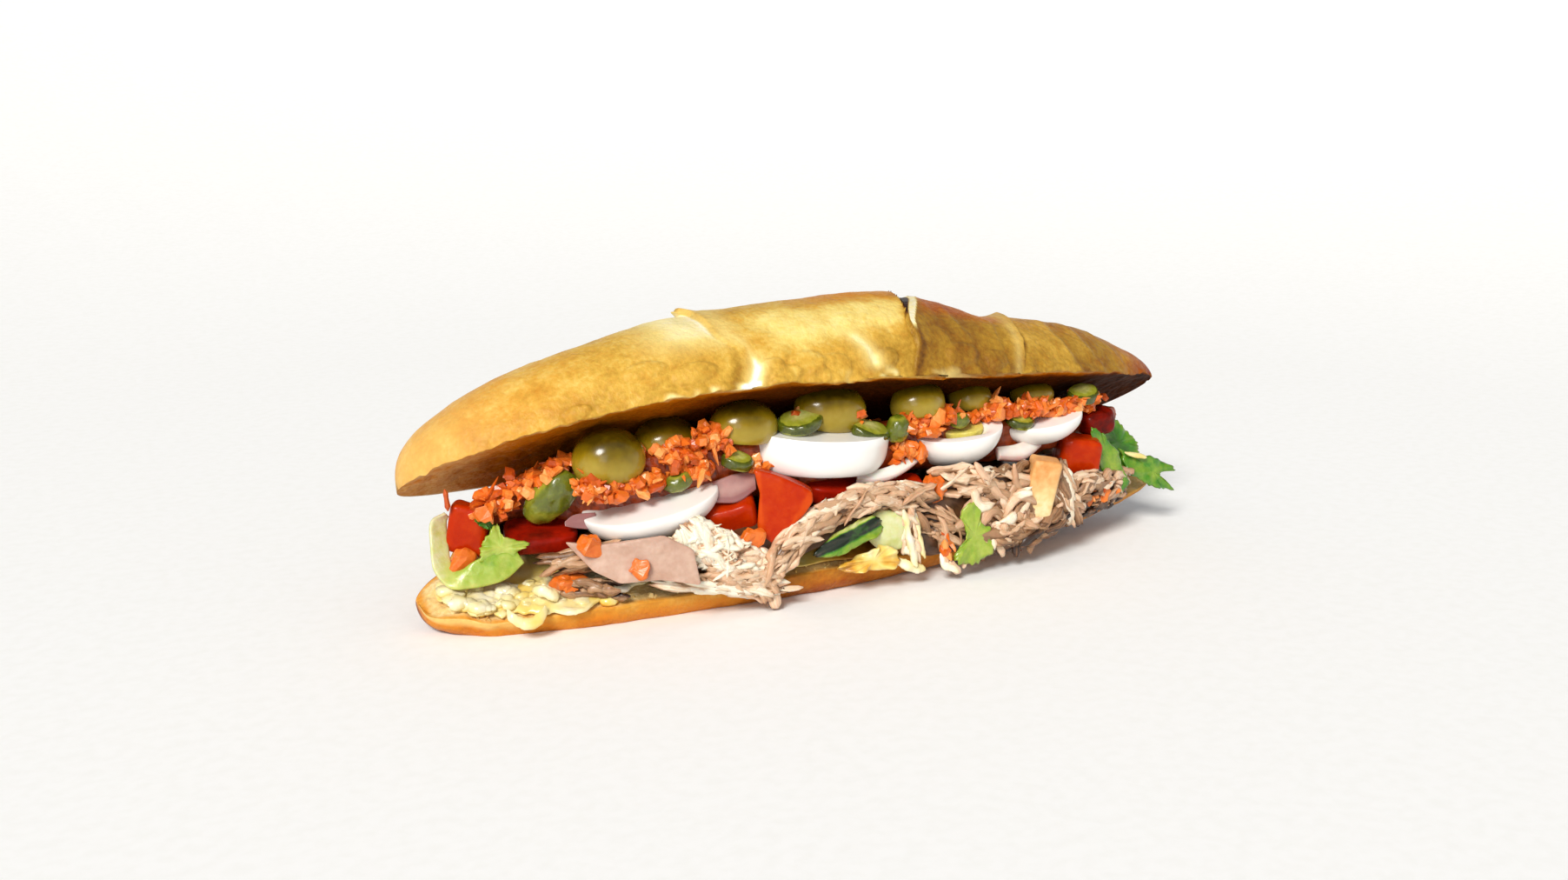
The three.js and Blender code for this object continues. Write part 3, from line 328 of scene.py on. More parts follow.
def lid_height(x, y):
    """Height of the lid's cut plane over a place in plan."""
    _, _, tilt, middle, z = lid_section(np.clip((x - LID["middle"]) / LID["half_length"], -1, 1))
    return z - (y - middle) * np.tan(tilt)


def base_height(x, y):
    """Height of the base's cut plane over a place in plan."""
    s = np.clip((x - BASE["middle"]) / BASE["half_length"], -1, 1)
    width, _, tilt, middle, z = base_section(s)
    across = np.clip((y - middle) / np.maximum(width * np.cos(tilt), 1), -1, 1)
    return z + (y - middle) * np.tan(tilt) + base_across(s, across)[1]


def base_rim(s):
    """Front edge of the base in plan."""
    width, _, tilt, y, _ = base_section(s)
    return y - width * np.cos(tilt)


def slash_column(slash):
    """The grid column that follows a slash, at its place 30 degrees up the crust."""
    return float(np.interp(30, slash["angles"], slash["shares"]))


def follow_slashes(s, angle):
    """Bends the grid columns beside each slash so that they follow its route."""
    bent = s
    for slash in SLASHES:
        column = slash_column(slash)
        bent = bent + (np.interp(angle, slash["angles"], slash["shares"]) - column) * hill(s, column, 0.13)
    return bent


def slash_parts(slash, s, angle):
    """Millimetres right of a slash's edge, and its groove from 0 to 1: full over the floor, sloping up over
    the face, both wider and deeper up the crust, and gone by the slash's ends."""
    edge = np.interp(angle, slash["edge_angles"], slash["edge"])
    across = (s - slash_column(slash)) * LID["half_length"] - edge
    grown = 0.15 + 0.85 * smoothstep(angle, 10, 50)
    away = across * slash["side"]
    flat = slash["floor"] * (0.12 + 0.88 * smoothstep(angle, 34, 62))
    rise = flat + slash["face"] * grown
    groove = smoothstep(away, -0.3, 0.15) * (1 - np.clip((away - flat) / (rise - flat), 0, 1))
    return across, groove, grown * fade(angle, *slash["ends"])


def slash_relief(s, angle):
    """Millimetres outwards: a lip on each side of every slash that fades away from it, less its groove."""
    relief = np.zeros(np.broadcast(s, angle).shape)
    for slash in SLASHES:
        across, groove, strength = slash_parts(slash, s, angle)
        reach = np.where(across < 0, slash["left_fade"], slash["right_fade"])
        lip = np.where(across < 0, slash["left"], slash["right"]) * np.exp(-np.abs(across) / reach)
        lip = lip * band(angle, *slash["grow"], *slash["ends"])
        relief += lip - slash["depth"] * groove * strength
    return relief


def fold_relief(s, angle, points):
    """The folds: each swells slowly up to a wandering edge and drops behind it. Gives the relief in
    millimetres, and the painted shade behind each edge less the painted highlight before it."""
    wander = 2.6 * soft_noise(points, 9, 31, 2)
    low = fade(angle, 46, 72)
    relief, behind = 0 * wander, 0 * wander
    for at, lean, height in FOLDS:
        across = (s - at) * LID["half_length"] + lean * (angle - 15) + wander
        relief += height * low * np.exp(-np.abs(across) / 6) * fade(across, -0.8, 1.0)
        behind += height * low * (hill(across, 1.8, 2.2) - 0.6 * hill(across, -1.8, 2.0))
    return relief, behind


def crust_steps(count, slashes):
    """Shares of the half length from tip to tip, closer together towards the tips and beside each slash."""
    fine = np.linspace(-1, 1, 4001)
    density = 1 + 1.6 * (np.abs(fine) ** 12)
    for slash in slashes:
        density = density + 2.2 * hill(fine, slash_column(slash) + 0.01, 0.03)
    spacing = np.cumsum(density)
    spacing = (spacing - spacing[0]) / (spacing[-1] - spacing[0])
    return np.interp(np.linspace(0.0006, 0.9994, count), spacing, fine)


def bread_grid(shares, crust_count, crumb_count):
    """The grid round a half of the roll: angle round the crust from the front rim to the back rim, then the
    share of the way back across the cut face. Both come as full arrays, with 0 where the other one
    counts."""
    angle = 180 * np.linspace(0, 1, crust_count) ** 1.25
    inside = np.linspace(0, 1, crumb_count + 2)[1:-1]
    angles = np.concatenate([angle, np.full(crumb_count, 180.0)])
    insides = np.concatenate([np.zeros(crust_count), inside])
    s, a = np.meshgrid(shares, angles, indexing="ij")
    return s, a, np.broadcast_to(insides, s.shape)


def lid_surface(s, angle, inside, relief, pit):
    """Round the crust, the distance from the middle of the cut face is the section's half width times a
    power of the cosine, and its height the thickness times a power of the sine, with the relief outwards;
    on the cut face the height is a shallow dish. The section leans back by its tilt."""
    bent = follow_slashes(s, angle)
    width, thick, tilt, y, z = lid_section(bent)
    turn = np.radians(angle)
    cut = inside > 0
    across = np.where(cut, 1 - 2 * inside, -power(np.cos(turn), 0.9))
    edge = across * width - np.where(cut, 0, relief * np.cos(turn))
    dish = CRUMB_DISH * (1 - across ** 2) * np.clip(width / 20, 0, 1) + pit
    out = np.where(cut, dish, thick * np.sin(turn) ** 0.85 + relief * np.sin(turn))
    x = LID["middle"] + LID["half_length"] * bent
    back = y + edge * np.cos(tilt) + out * np.sin(tilt)
    return np.stack([x, back, z - edge * np.sin(tilt) + out * np.cos(tilt)], -1)


def base_surface(s, angle, inside, relief, pit):
    """The same with the crust below the cut face, pressed flat where it rests."""
    width, thick, tilt, y, z = base_section(s)
    turn = np.radians(angle)
    cut = inside > 0
    across, lift = base_across(s, np.where(cut, 1 - 2 * inside, -power(np.cos(turn), 0.9)))
    edge = across * width - np.where(cut, 0, relief * np.cos(turn))
    out = np.where(cut, -pit, thick * np.sin(turn) ** 0.7 + relief * np.sin(turn))
    x = BASE["middle"] + BASE["half_length"] * s + 0 * out
    back = y + edge * np.cos(tilt) + out * np.sin(tilt)
    height = z + edge * np.sin(tilt) - out * np.cos(tilt) + lift
    return np.stack([x, back, np.maximum(height, 0)], -1)


# Forms of the heaps


def droop_depth(s):
    """How far the tuna droops over the base's rim."""
    return TUNA_DROOP * (band(s, 0.04, 0.2, 0.62, 0.78) + 0.4 * hill(s, -0.27, 0.12))


def tuna_front(s):
    """Front face of the tuna in plan, past the base's rim and set back towards the left tip."""
    return lerp(-9, base_rim(s) - TUNA_OVERHANG - 0.3 * droop_depth(s), smoothstep(s, -0.84, -0.5))


def tuna_low(x, y):
    """Underside of the tuna, below the rim where it droops over it."""
    s = np.clip(x / LID["half_length"], -1, 1)
    return base_height(x, y) + SPREAD + 2 * GAP - droop_depth(s) * smoothstep(base_rim(s) - y, -0.5, 2)


def carrot_front(s):
    """Front face of the carrot in plan, behind the lid's rim."""
    width, _, tilt, y, _ = lid_section(s)
    return lerp(-6, y - CARROT_REACH * width * np.cos(tilt), smoothstep(s, -0.84, -0.55))


def filling_back(s):
    """Back face of both heaps, inside the hinge of the roll."""
    width, _, _, y, _ = base_section(s)
    return y + BACK_REACH * width


def seam_height(x, y):
    """Height of the seam between the tuna and what lies on it."""
    s = np.clip(x / LID["half_length"], -1, 1)
    wave = (np.sin(0.29 * x + 1.1) * np.cos(0.33 * y + 0.6) + np.sin(0.21 * x + 2.3)) / 2
    height = lerp(base_height(x, y), lid_height(x, y), 0.35 + 0.1 * s + 0.03 * wave)
    return np.maximum(height, base_height(x, y) + SPREAD + 2 * GAP + 1)


def carrot_top(x, y):
    """Top of the carrot: against the lid at the back, sinking away from it to the front and the left
    tip."""
    return lid_height(x, y) - GAP - 8.5 * smoothstep(-y, 4, 28) - 10.5 * smoothstep(-x, 78, 110)


def layer(start, end, front, low, high, steps, sides, lumps):
    """A layer of filling: its section at each share of the roll is a rounded block between the front face,
    the back face and two heights, and the block closes at both ends. lumps gives millimetres outwards."""
    t = np.linspace(-0.998, 0.998, steps)[:, None]
    share = lerp(start, end, 0.5 + 0.5 * lerp(t, np.sin(t * np.pi / 2), 0.5))
    fullness = np.sqrt(np.clip(1 - np.abs(t) ** 4, 0, 1))
    turn = 2 * np.pi * np.arange(sides)[None] / sides
    near, far = front(share), filling_back(share)
    x = share * LID["half_length"] + 0 * turn
    y = (near + far) / 2 + power(np.cos(turn), 0.5) * fullness * (far - near) / 2
    rise = 0.5 + 0.5 * power(np.sin(turn), 0.5) * fullness
    floor = low(x, y)
    points = np.stack([x, y, lerp(floor, np.maximum(high(x, y), floor + 0.4), rise)], -1)
    out = lumps(points)
    points[..., 1] += out * np.cos(turn)
    points[..., 2] += out * np.sin(turn)
    return points


# Forms of the pieces


def rounded(size, rings=40, around=64, plan=1.0, side=1.0, low=1.0, high=1.0, edge=0.6):
    """A closed rounded form: a superellipse in plan scaled by a power of the cosine of the latitude, its
    height a power of the sine, cut off flat below and above with a small rounded edge."""
    a, b, c = (full / 2 for full in size)
    latitude = np.pi * (np.linspace(0.01, 0.99, rings) - 0.5)[:, None]
    turn = 2 * np.pi * np.arange(around)[None] / around
    flat = np.cos(latitude) ** side
    height = c * power(np.sin(latitude), side)
    bottom, top = -low * c, high * c
    for limit, sign in ((bottom, 1), (top, -1)):
        over = sign * (height - limit)
        if abs(limit) < c:
            height = limit + sign * 0.5 * (over + np.sqrt(over ** 2 + edge ** 2))
    x = a * flat * power(np.cos(turn), plan)
    y = b * flat * power(np.sin(turn), plan)
    return np.stack([x, y, height + 0 * turn], -1)


def plate(outline, thick, rings=26, around=120, side=0.25):
    """A slab with rounded edges: the outline, walked at an even pace and smoothed, is scaled by a power of
    the cosine of the latitude, and the thickness goes by the same power of the sine."""
    corners = np.array(outline + outline[:1], float)
    walked = np.concatenate([[0], np.cumsum(np.linalg.norm(np.diff(corners, axis=0), axis=1))])
    at = np.arange(around) / around * walked[-1]
    ring = np.stack([np.interp(at, walked, corners[:, i]) for i in range(2)], -1)
    for _ in range(2):
        ring = (np.roll(ring, 1, 0) + 2 * ring + np.roll(ring, -1, 0)) / 4
    centre = ring.mean(0)
    latitude = np.pi * (np.linspace(0.02, 0.98, rings) - 0.5)[:, None]
    flat = np.cos(latitude)[..., None] ** side
    plan = centre + flat * (ring - centre)
    height = thick / 2 * power(np.sin(latitude), side) + np.zeros(around)
    return np.stack([plan[..., 0], height, plan[..., 1]], -1)


def placed(points, at, turn=(0, 0, 0)):
    """Points turned about the origin and moved to their place."""
    return points @ turn_matrix(turn).T + np.array(at, float)


def cubic(a, b, c, d, t):
    """From b to c, with the slope at each as half the step between its neighbours."""
    square = 2 * a - 5 * b + 4 * c - d
    cube = 3 * b - a - 3 * c + d
    return 0.5 * (2 * b + (c - a) * t + square * t ** 2 + cube * t ** 3)


def smooth_line(points, count):
    """A smooth line of cubic pieces through given points."""
    p = np.array(points, float)
    padded = np.concatenate([2 * p[:1] - p[1:2], p, 2 * p[-1:] - p[-2:-1]])
    at = np.linspace(0, len(p) - 1, count)
    i = np.minimum(at.astype(int), len(p) - 2)
    return cubic(*(padded[i + k] for k in range(4)), (at - i)[:, None])


def smooth_loop(points, count):
    """The same round a closed loop."""
    p = np.array(points, float)
    at = np.arange(count) / count * len(p)
    i = at.astype(int)
    return cubic(*(p[(i + k) % len(p)] for k in (-1, 0, 1, 2)), (at - i)[:, None])


def bent_paths(middle, direction, length, bend, along):
    """One path for each middle: the middle, plus its direction times the length, plus its bend times the
    square of the way from the middle."""
    t = np.linspace(-1, 1, along)[None, :, None]
    straight = unit(direction)[:, None] * t * length[:, None, None] / 2
    return middle[:, None] + straight + bend[:, None] * t ** 2


def strands(rng, path, side, width, thick, around=6, ridges=3, depth=0.1, ragged=0.1):
    """Strands along their paths: the section is an oval with ridges, its width along the side direction,
    its size uneven along the strand and tapered to both ends by a power of the way from the middle."""
    count, along, _ = path.shape
    t = np.linspace(-1, 1, along)[None, :, None]
    taper = 1 - 0.8 * np.abs(t) ** rng.uniform(2, 7, (count, 1, 1))
    taper = taper * (1 + ragged * rng.normal(size=(count, along, 1)))
    turn = 2 * np.pi * np.arange(around) / around
    section = taper * (1 + depth * np.cos(ridges * turn + rng.uniform(0, 6, (count, 1, 1))))
    tangent = unit(np.gradient(path, axis=1))
    lift = unit(np.cross(tangent, side))
    flat = np.cross(lift, tangent)
    across = width[:, None, None] / 2 * section * np.cos(turn)
    deep = thick[:, None, None] / 2 * section * np.sin(turn)
    return path[:, :, None] + across[..., None] * flat[:, :, None] + deep[..., None] * lift[:, :, None]


def chunks(rng, centres, size, rough=0.14):
    """Small angular bits, one for each centre: a squarish ball, each corner moved at random, turned at
    random."""
    count, along, around, square = len(centres), 4, 6, 0.6
    latitude = np.pi * (np.linspace(0.12, 0.88, along) - 0.5)[:, None]
    turn = 2 * np.pi * np.arange(around)[None] / around
    flat = np.cos(latitude) ** square
    ball = np.stack([flat * power(np.cos(turn), square), flat * power(np.sin(turn), square),
                     power(np.sin(latitude), square) + 0 * turn], -1)
    ball = ball[None] * (1 + rough * rng.normal(size=(count, along, around, 1)))
    ball = ball * size[:, None, None] / 2
    return np.einsum("nij,nabj->nabi", random_turns(rng, count), ball) + centres[:, None, None]


def strip(lower, upper, thick, wave, size, seed, columns=90):
    """A wavy strip as a closed solid: straight lines from a smooth lower edge to a smooth upper edge, waved
    to and fro by patches of a size, with half the thickness in front and half behind. Also gives the way
    from the lower edge to the upper."""
    v = np.linspace(0, 1, 16)[None, :, None]
    grid = lerp(smooth_line(lower, columns)[:, None], smooth_line(upper, columns)[:, None], v)
    grid[..., 1] += wave * soft_noise(grid + 30.0 * seed, size, seed, 2)
    normal = unit(np.cross(np.gradient(grid, axis=0), np.gradient(grid, axis=1)))
    half = thick / 2 * np.sqrt(1 - (0.96 * (2 * v - 1)) ** 8)
    rings = np.concatenate([grid + normal * half, (grid - normal * half)[:, ::-1]], 1)
    rise = np.broadcast_to(np.concatenate([v, v[:, ::-1]], 1)[..., 0], rings.shape[:2])
    return rings, rise


def leaf(edge, thick, wave, teeth, seed, around=200):
    """A wavy leaf as a closed solid: a smooth loop through given places, notched by sines, is scaled
    towards its middle, its front and back half a thickness either side, with waves that grow towards the
    edge. Also gives the reach, 0 in the middle and 1 at the edge."""
    loop = smooth_loop(edge, around)
    turn = 2 * np.pi * np.arange(around) / around
    notch = sum(np.sin(k * turn + seed * k) for k in (11, 19, 29)) / 2
    heart = loop.mean(0)
    arms = (loop - heart) * (1 + teeth * notch)[:, None]
    normal = np.linalg.svd(loop - heart)[2][2]
    t = np.linspace(-0.97, 0.97, 27)[:, None]
    reach = 1 - np.abs(t)
    half = np.sign(t) * thick / 2 * np.sqrt(1 - reach ** 12)
    waves = wave * reach ** 2 * (np.sin(5 * turn + 3 * reach + seed) + 0.6 * np.sin(11 * turn + 2 * seed))
    return heart + reach[..., None] * arms + (waves + half)[..., None] * normal, reach + 0 * turn


# Materials


def add(tree, kind, settings=(), links=()):
    """Adds one node. A setting is a property's name or a socket's name or number and its value, and stops
    are the places and colours of a ramp. A link is a socket's name or number and the socket that feeds
    it."""
    node = tree.nodes.new(kind)
    for key, value in dict(settings).items():
        if key == "stops":
            ramp = node.color_ramp
            while len(ramp.elements) < len(value):
                ramp.elements.new(0.5)
            for element, (position, colour) in zip(ramp.elements, value):
                element.position = position
                element.color = linear(colour) if isinstance(colour, str) else (*colour, 1.0)
        elif isinstance(key, str) and hasattr(node, key):
            setattr(node, key, value)
        else:
            node.inputs[key].default_value = value
    for key, socket in dict(links).items():
        tree.links.new(socket, node.inputs[key])
    return node


def blank_material(name, finish):
    """A material, its tree, its shader with constants on its own sockets, and its object coordinates."""
    material = bpy.data.materials.new(name)
    material.use_nodes = True
    tree = material.node_tree
    shader = tree.nodes["Principled BSDF"]
    for key, value in finish.items():
        shader.inputs[key].default_value = value
    return material, tree, shader, add(tree, "ShaderNodeTexCoord").outputs["Object"]


def grain(tree, where, start, layers):
    """Adds layers of soft noise to a number: each has patches of a size in millimetres and a share, and
    moves the number up or down by up to about half its share. Gives the sum and the finest layer."""
    for millimetres, share in layers:
        patches = {"Scale": 1 / (millimetres * MM), "Detail": 3.0}
        fine = add(tree, "ShaderNodeTexNoise", patches, {"Vector": where}).outputs["Fac"]
        raise_by = {"operation": "MULTIPLY_ADD", 1: share}
        start = add(tree, "ShaderNodeMath", raise_by, {0: fine, 2: start}).outputs[0]
    middle = {"operation": "SUBTRACT", 1: sum(share for _, share in layers) / 2}
    return add(tree, "ShaderNodeMath", middle, {0: start}).outputs[0], fine


def crust_material(look):
    """Wheat crust from the oven: matt gold with a soft sheen, mottled by fine blisters, browned on
    ridges and at the right tip, orange at the left one, with pale dough in the slashes, painted
    highlight on a slash's lip, painted shade in the slashes' gaps, behind the folds and below the tuna,
    and an open crumb inside, browned a little by toasting and more by painted shade under the lid."""
    finish = {"Subsurface Weight": 0.04, "Subsurface Scale": 0.002}
    material, tree, shader, where = blank_material("baked_wheat_crust", finish)
    mask = {name: add(tree, "ShaderNodeAttribute", {"attribute_name": name}).outputs["Fac"]
            for name in ("bake", "blush", "dough", "cut", "toast")}
    # The bake mask also carries painted shade: in the slash gaps, behind the folds and below the tuna
    baked, fine = grain(tree, where, mask["bake"], ((17, 0.24), (6, 0.3), (1.4, 0.24)))
    stops = ((0, "#fae79c"), (0.2, "#ecd074"), (0.38, look.crust), (0.54, "#a87e28"), (0.7, "#84581a"),
             (0.85, "#54300f"), (1, "#241006"))
    gold = add(tree, "ShaderNodeValToRGB", {"stops": stops}, {"Fac": baked}).outputs["Color"]
    warm, _ = grain(tree, where, mask["blush"], ((6, 0.5), (1.8, 0.5)))
    stops = ((0.48, "#d8801e"), (0.84, "#8a3004"))
    orange = add(tree, "ShaderNodeValToRGB", {"stops": stops}, {"Fac": baked}).outputs["Color"]
    blushed = add(tree, "ShaderNodeMix", {"data_type": "RGBA"}, {0: warm, 6: gold, 7: orange})
    opened, _ = grain(tree, where, mask["dough"], ((3, 0.2), (1.2, 0.2)))
    stops = ((0.2, "#e2c981"), (0.6, "#f3df8f"), (0.82, "#faeeb4"), (1, "#fffdf4"))
    dough = add(tree, "ShaderNodeValToRGB", {"stops": stops}, {"Fac": opened}).outputs["Color"]
    crust = {0: mask["dough"], 6: blushed.outputs[2], 7: dough}
    slashed = add(tree, "ShaderNodeMix", {"data_type": "RGBA"}, crust)
    # The toast mask also carries the painted shade on the lid's cut face under the lid
    toasted, _ = grain(tree, where, mask["toast"], ((6, 0.16), (1.3, 0.2)))
    stops = ((0, "#f3e2b0"), (0.12, look.crumb), (0.34, "#b8690a"), (0.6, "#6e3204"), (0.85, "#2a1204"))
    inside = add(tree, "ShaderNodeValToRGB", {"stops": stops}, {"Fac": toasted}).outputs["Color"]
    bread = {0: mask["cut"], 6: slashed.outputs[2], 7: inside}
    whole = add(tree, "ShaderNodeMix", {"data_type": "RGBA"}, bread)
    tree.links.new(whole.outputs[2], shader.inputs["Base Color"])
    # Rougher where the finest blisters are, and no sheen on the cut faces
    rough = {"operation": "MULTIPLY_ADD", 1: 0.3, 2: 0.3}
    rough = add(tree, "ShaderNodeMath", rough, {0: fine}).outputs[0]
    tree.links.new(rough, shader.inputs["Roughness"])
    sheen = {"operation": "MULTIPLY_ADD", 1: -0.16, 2: 0.17}
    sheen = add(tree, "ShaderNodeMath", sheen, {0: mask["cut"]}).outputs[0]
    tree.links.new(sheen, shader.inputs["Specular IOR Level"])
    relief = add(tree, "ShaderNodeBump", {"Strength": 0.5, "Distance": 0.7 * MM}, {"Height": fine})
    tree.links.new(relief.outputs["Normal"], shader.inputs["Normal"])
    return material


def food_material(name, stops, layers, relief, finish, fibre=None):
    """One kind of filling: each piece's own shade runs up a ramp of colours, shifted by layers of patches.
    The finest patches also roughen it, by a relief in millimetres. finish holds the shader's constants.
    fibre gives the width of the fibres in millimetres and their share of the shade, for strands that know
    the way across them."""
    wet = {"Coat Roughness": 0.12, "Subsurface Scale": 0.003}
    material, tree, shader, where = blank_material(name, wet | finish)
    shade = add(tree, "ShaderNodeAttribute", {"attribute_name": "shade"}).outputs["Fac"]
    shifted, fine = grain(tree, where, shade, layers)
    if fibre:
        fibre_width, share = fibre
        across = add(tree, "ShaderNodeAttribute", {"attribute_name": "fibre"}).outputs["Fac"]
        bent = add(tree, "ShaderNodeMath", {"operation": "ADD"}, {0: across, 1: fine}).outputs[0]
        lines = {"noise_dimensions": "1D", "Scale": 1 / fibre_width, "Detail": 2.0}
        fine = add(tree, "ShaderNodeTexNoise", lines, {"W": bent}).outputs["Fac"]
        raise_by, middle = {"operation": "MULTIPLY_ADD", 1: share}, {"operation": "SUBTRACT", 1: share / 2}
        raised = add(tree, "ShaderNodeMath", raise_by, {0: fine, 2: shifted}).outputs[0]
        shifted = add(tree, "ShaderNodeMath", middle, {0: raised}).outputs[0]
    colour = add(tree, "ShaderNodeValToRGB", {"stops": stops}, {"Fac": shifted}).outputs["Color"]
    tree.links.new(colour, shader.inputs["Base Color"])
    bump = add(tree, "ShaderNodeBump", {"Strength": 0.6, "Distance": relief * MM}, {"Height": fine})
    tree.links.new(bump.outputs["Normal"], shader.inputs["Normal"])
    return material


# Bread


# Blisters along the lid's rim: share of the half length, degrees up from the rim, radius in millimetres
BLISTERS = ((-0.228, 6.7, 4.5), (-0.188, 2.6, 5), (-0.13, 7, 6), (-0.105, 2, 4), (-0.06, 4.6, 6),
            (-0.653, 3.4, 3.6), (0.09, 6, 5), (0.3, 8, 6), (0.4, 6, 5), (-0.4, 9, 6), (-0.5, 16, 6))


def lid_looks(s, angle, inside, behind, uneven):
    """Bake with painted shade, blush, opened dough with painted highlight, cut, and toast over
    the lid, as values from 0 to 1. behind says where painted shade falls behind the folds and painted
    highlight before them, uneven breaks up the torn rim."""
    first, _, _ = slash_parts(SLASHES[0], s, angle)
    second, groove, strength = slash_parts(SLASHES[1], s, angle)
    third, _, _ = slash_parts(SLASHES[2], s, angle)

    # Opened dough: a patch and a flap beside the first slash, with a bare spot and a streak at its foot
    patch = smoothstep(s, -0.54, -0.38) * fade(first, -1.6, 0.3) * band(angle, 13, 34, 84, 110)
    flap = hill(first, 3, 4) * band(angle, 16, 28, 80, 104)
    spot = hill(s, -0.264, 0.023) * fade(angle, 6, 18)
    streak = hill(s, -0.27 - 0.0008 * (angle - 12), 0.009) * band(angle, 6, 12, 20, 30)
    # The second slash's sloping face, with painted shadow at its foot from 20 degrees up
    foot = lerp(0.88, 0.5, smoothstep(angle, 24, 52))
    gap = smoothstep(groove, foot - 0.05, foot + 0.05) * smoothstep(angle, 20, 32)
    gap = gap * smoothstep(strength, 0.1, 0.5)
    face = band(groove, 0.02, 0.1, foot - 0.07, foot) * smoothstep(strength, 0.2, 0.3)
    face = face * smoothstep(second, 0.05, 0.3)
    # A painted highlight on the third slash's lip, a short slit above the rim that is part opened dough and
    # part painted highlight, the left tip, and where the rim is torn
    lip = hill(third, -2.4, 1.6 + 1.4 * smoothstep(angle, 12, 50)) * fade(angle, 76, 98)
    slit = hill(s, 0.03 + 0.003 * (13 - angle), 0.028) * band(angle, 0, 5, 17, 26)
    tip = smoothstep(-s, 0.74, 0.98) * fade(angle, 60, 110)
    torn = fade(angle, 0.6, 3.4) * band(s, -0.62, -0.45, 0.16, 0.4) * smoothstep(uneven, 0.05, 0.4)
    dough = 0.8 * patch + 0.45 * flap + spot + 0.3 * streak + 0.85 * face + 0.32 * lip + 0.8 * slit
    dough = np.clip(dough + 0.3 * tip + 0.75 * torn, 0, 1) * (inside == 0)

    # Paler between the first two slashes, and darker right of them, low down, at the back and at the right
    # tip, with painted shade behind each fold and painted highlight before it
    pale = band(s, -0.27, -0.14, 0.15, 0.19) * band(angle, 12, 26, 36, 50)
    bake = 0.37 - 0.2 * pale + 0.25 * smoothstep(s, 0.12, 0.22) - 0.15 * smoothstep(s, 0.36, 0.5)
    bake = bake + 0.07 * smoothstep(s, 0.6, 0.7) + 0.32 * smoothstep(s, 0.84, 1.0)
    bake = bake + 0.05 * fade(angle, 3, 16) + 0.1 * behind + 0.2 * smoothstep(angle, 100, 165)
    # Shadow lines at the feet of the slashes and beside them
    bake = bake + 0.09 * hill(s, 0.1, 0.06) * fade(angle, 14, 30)
    bake = bake + 0.16 * hill(s, -0.31, 0.014) * fade(angle, 16, 26)
    bake = bake + 0.2 * hill(second, 1.6, 1.4) * fade(angle, 18, 32)
    bake = bake + 0.2 * hill(third, 0.9, 0.9) * band(angle, 6, 16, 76, 98)
    # Red-brown on the crown left of the second slash, on the ridge right of it, and at both tips
    crown = band(s, -0.16, 0.04, 0.17, 0.2) * band(angle, 36, 56, 86, 125)
    ridge = smoothstep(s, 0.2, 0.24) * (1 - 0.8 * smoothstep(s, 0.42, 0.48)) * band(angle, 25, 40, 86, 125)
    # The gap at the foot of the second slash gets near-black painted shadow, and no blush
    bake = np.maximum(bake + 0.06 * ridge + 0.08 * crown, 1.1 * gap)
    blush = 0.5 * smoothstep(-s, 0.5, 0.98) * fade(angle, 90, 150) + 0.85 * smoothstep(s, 0.76, 0.96)
    blush = np.clip(blush + 0.9 * ridge + 0.6 * crown, 0, 1) * (gap < 0.3)

    # The cut face is toasted a little and darkened by painted shade under the lid, more from the left end
    # to the middle, and less along its front
    toast = 0.27 + 0.19 * smoothstep(s, -0.9, -0.6) + 0.34 * smoothstep(s, -0.5, 0)
    front = smoothstep(inside + 0.015 * uneven, 0.91, 0.98)
    toast = np.where(inside > 0, toast - (toast - 0.22) * 0.8 * front, 0.2)
    return {"bake": bake, "blush": blush, "dough": dough, "cut": (inside > 0) + 0 * s, "toast": toast}


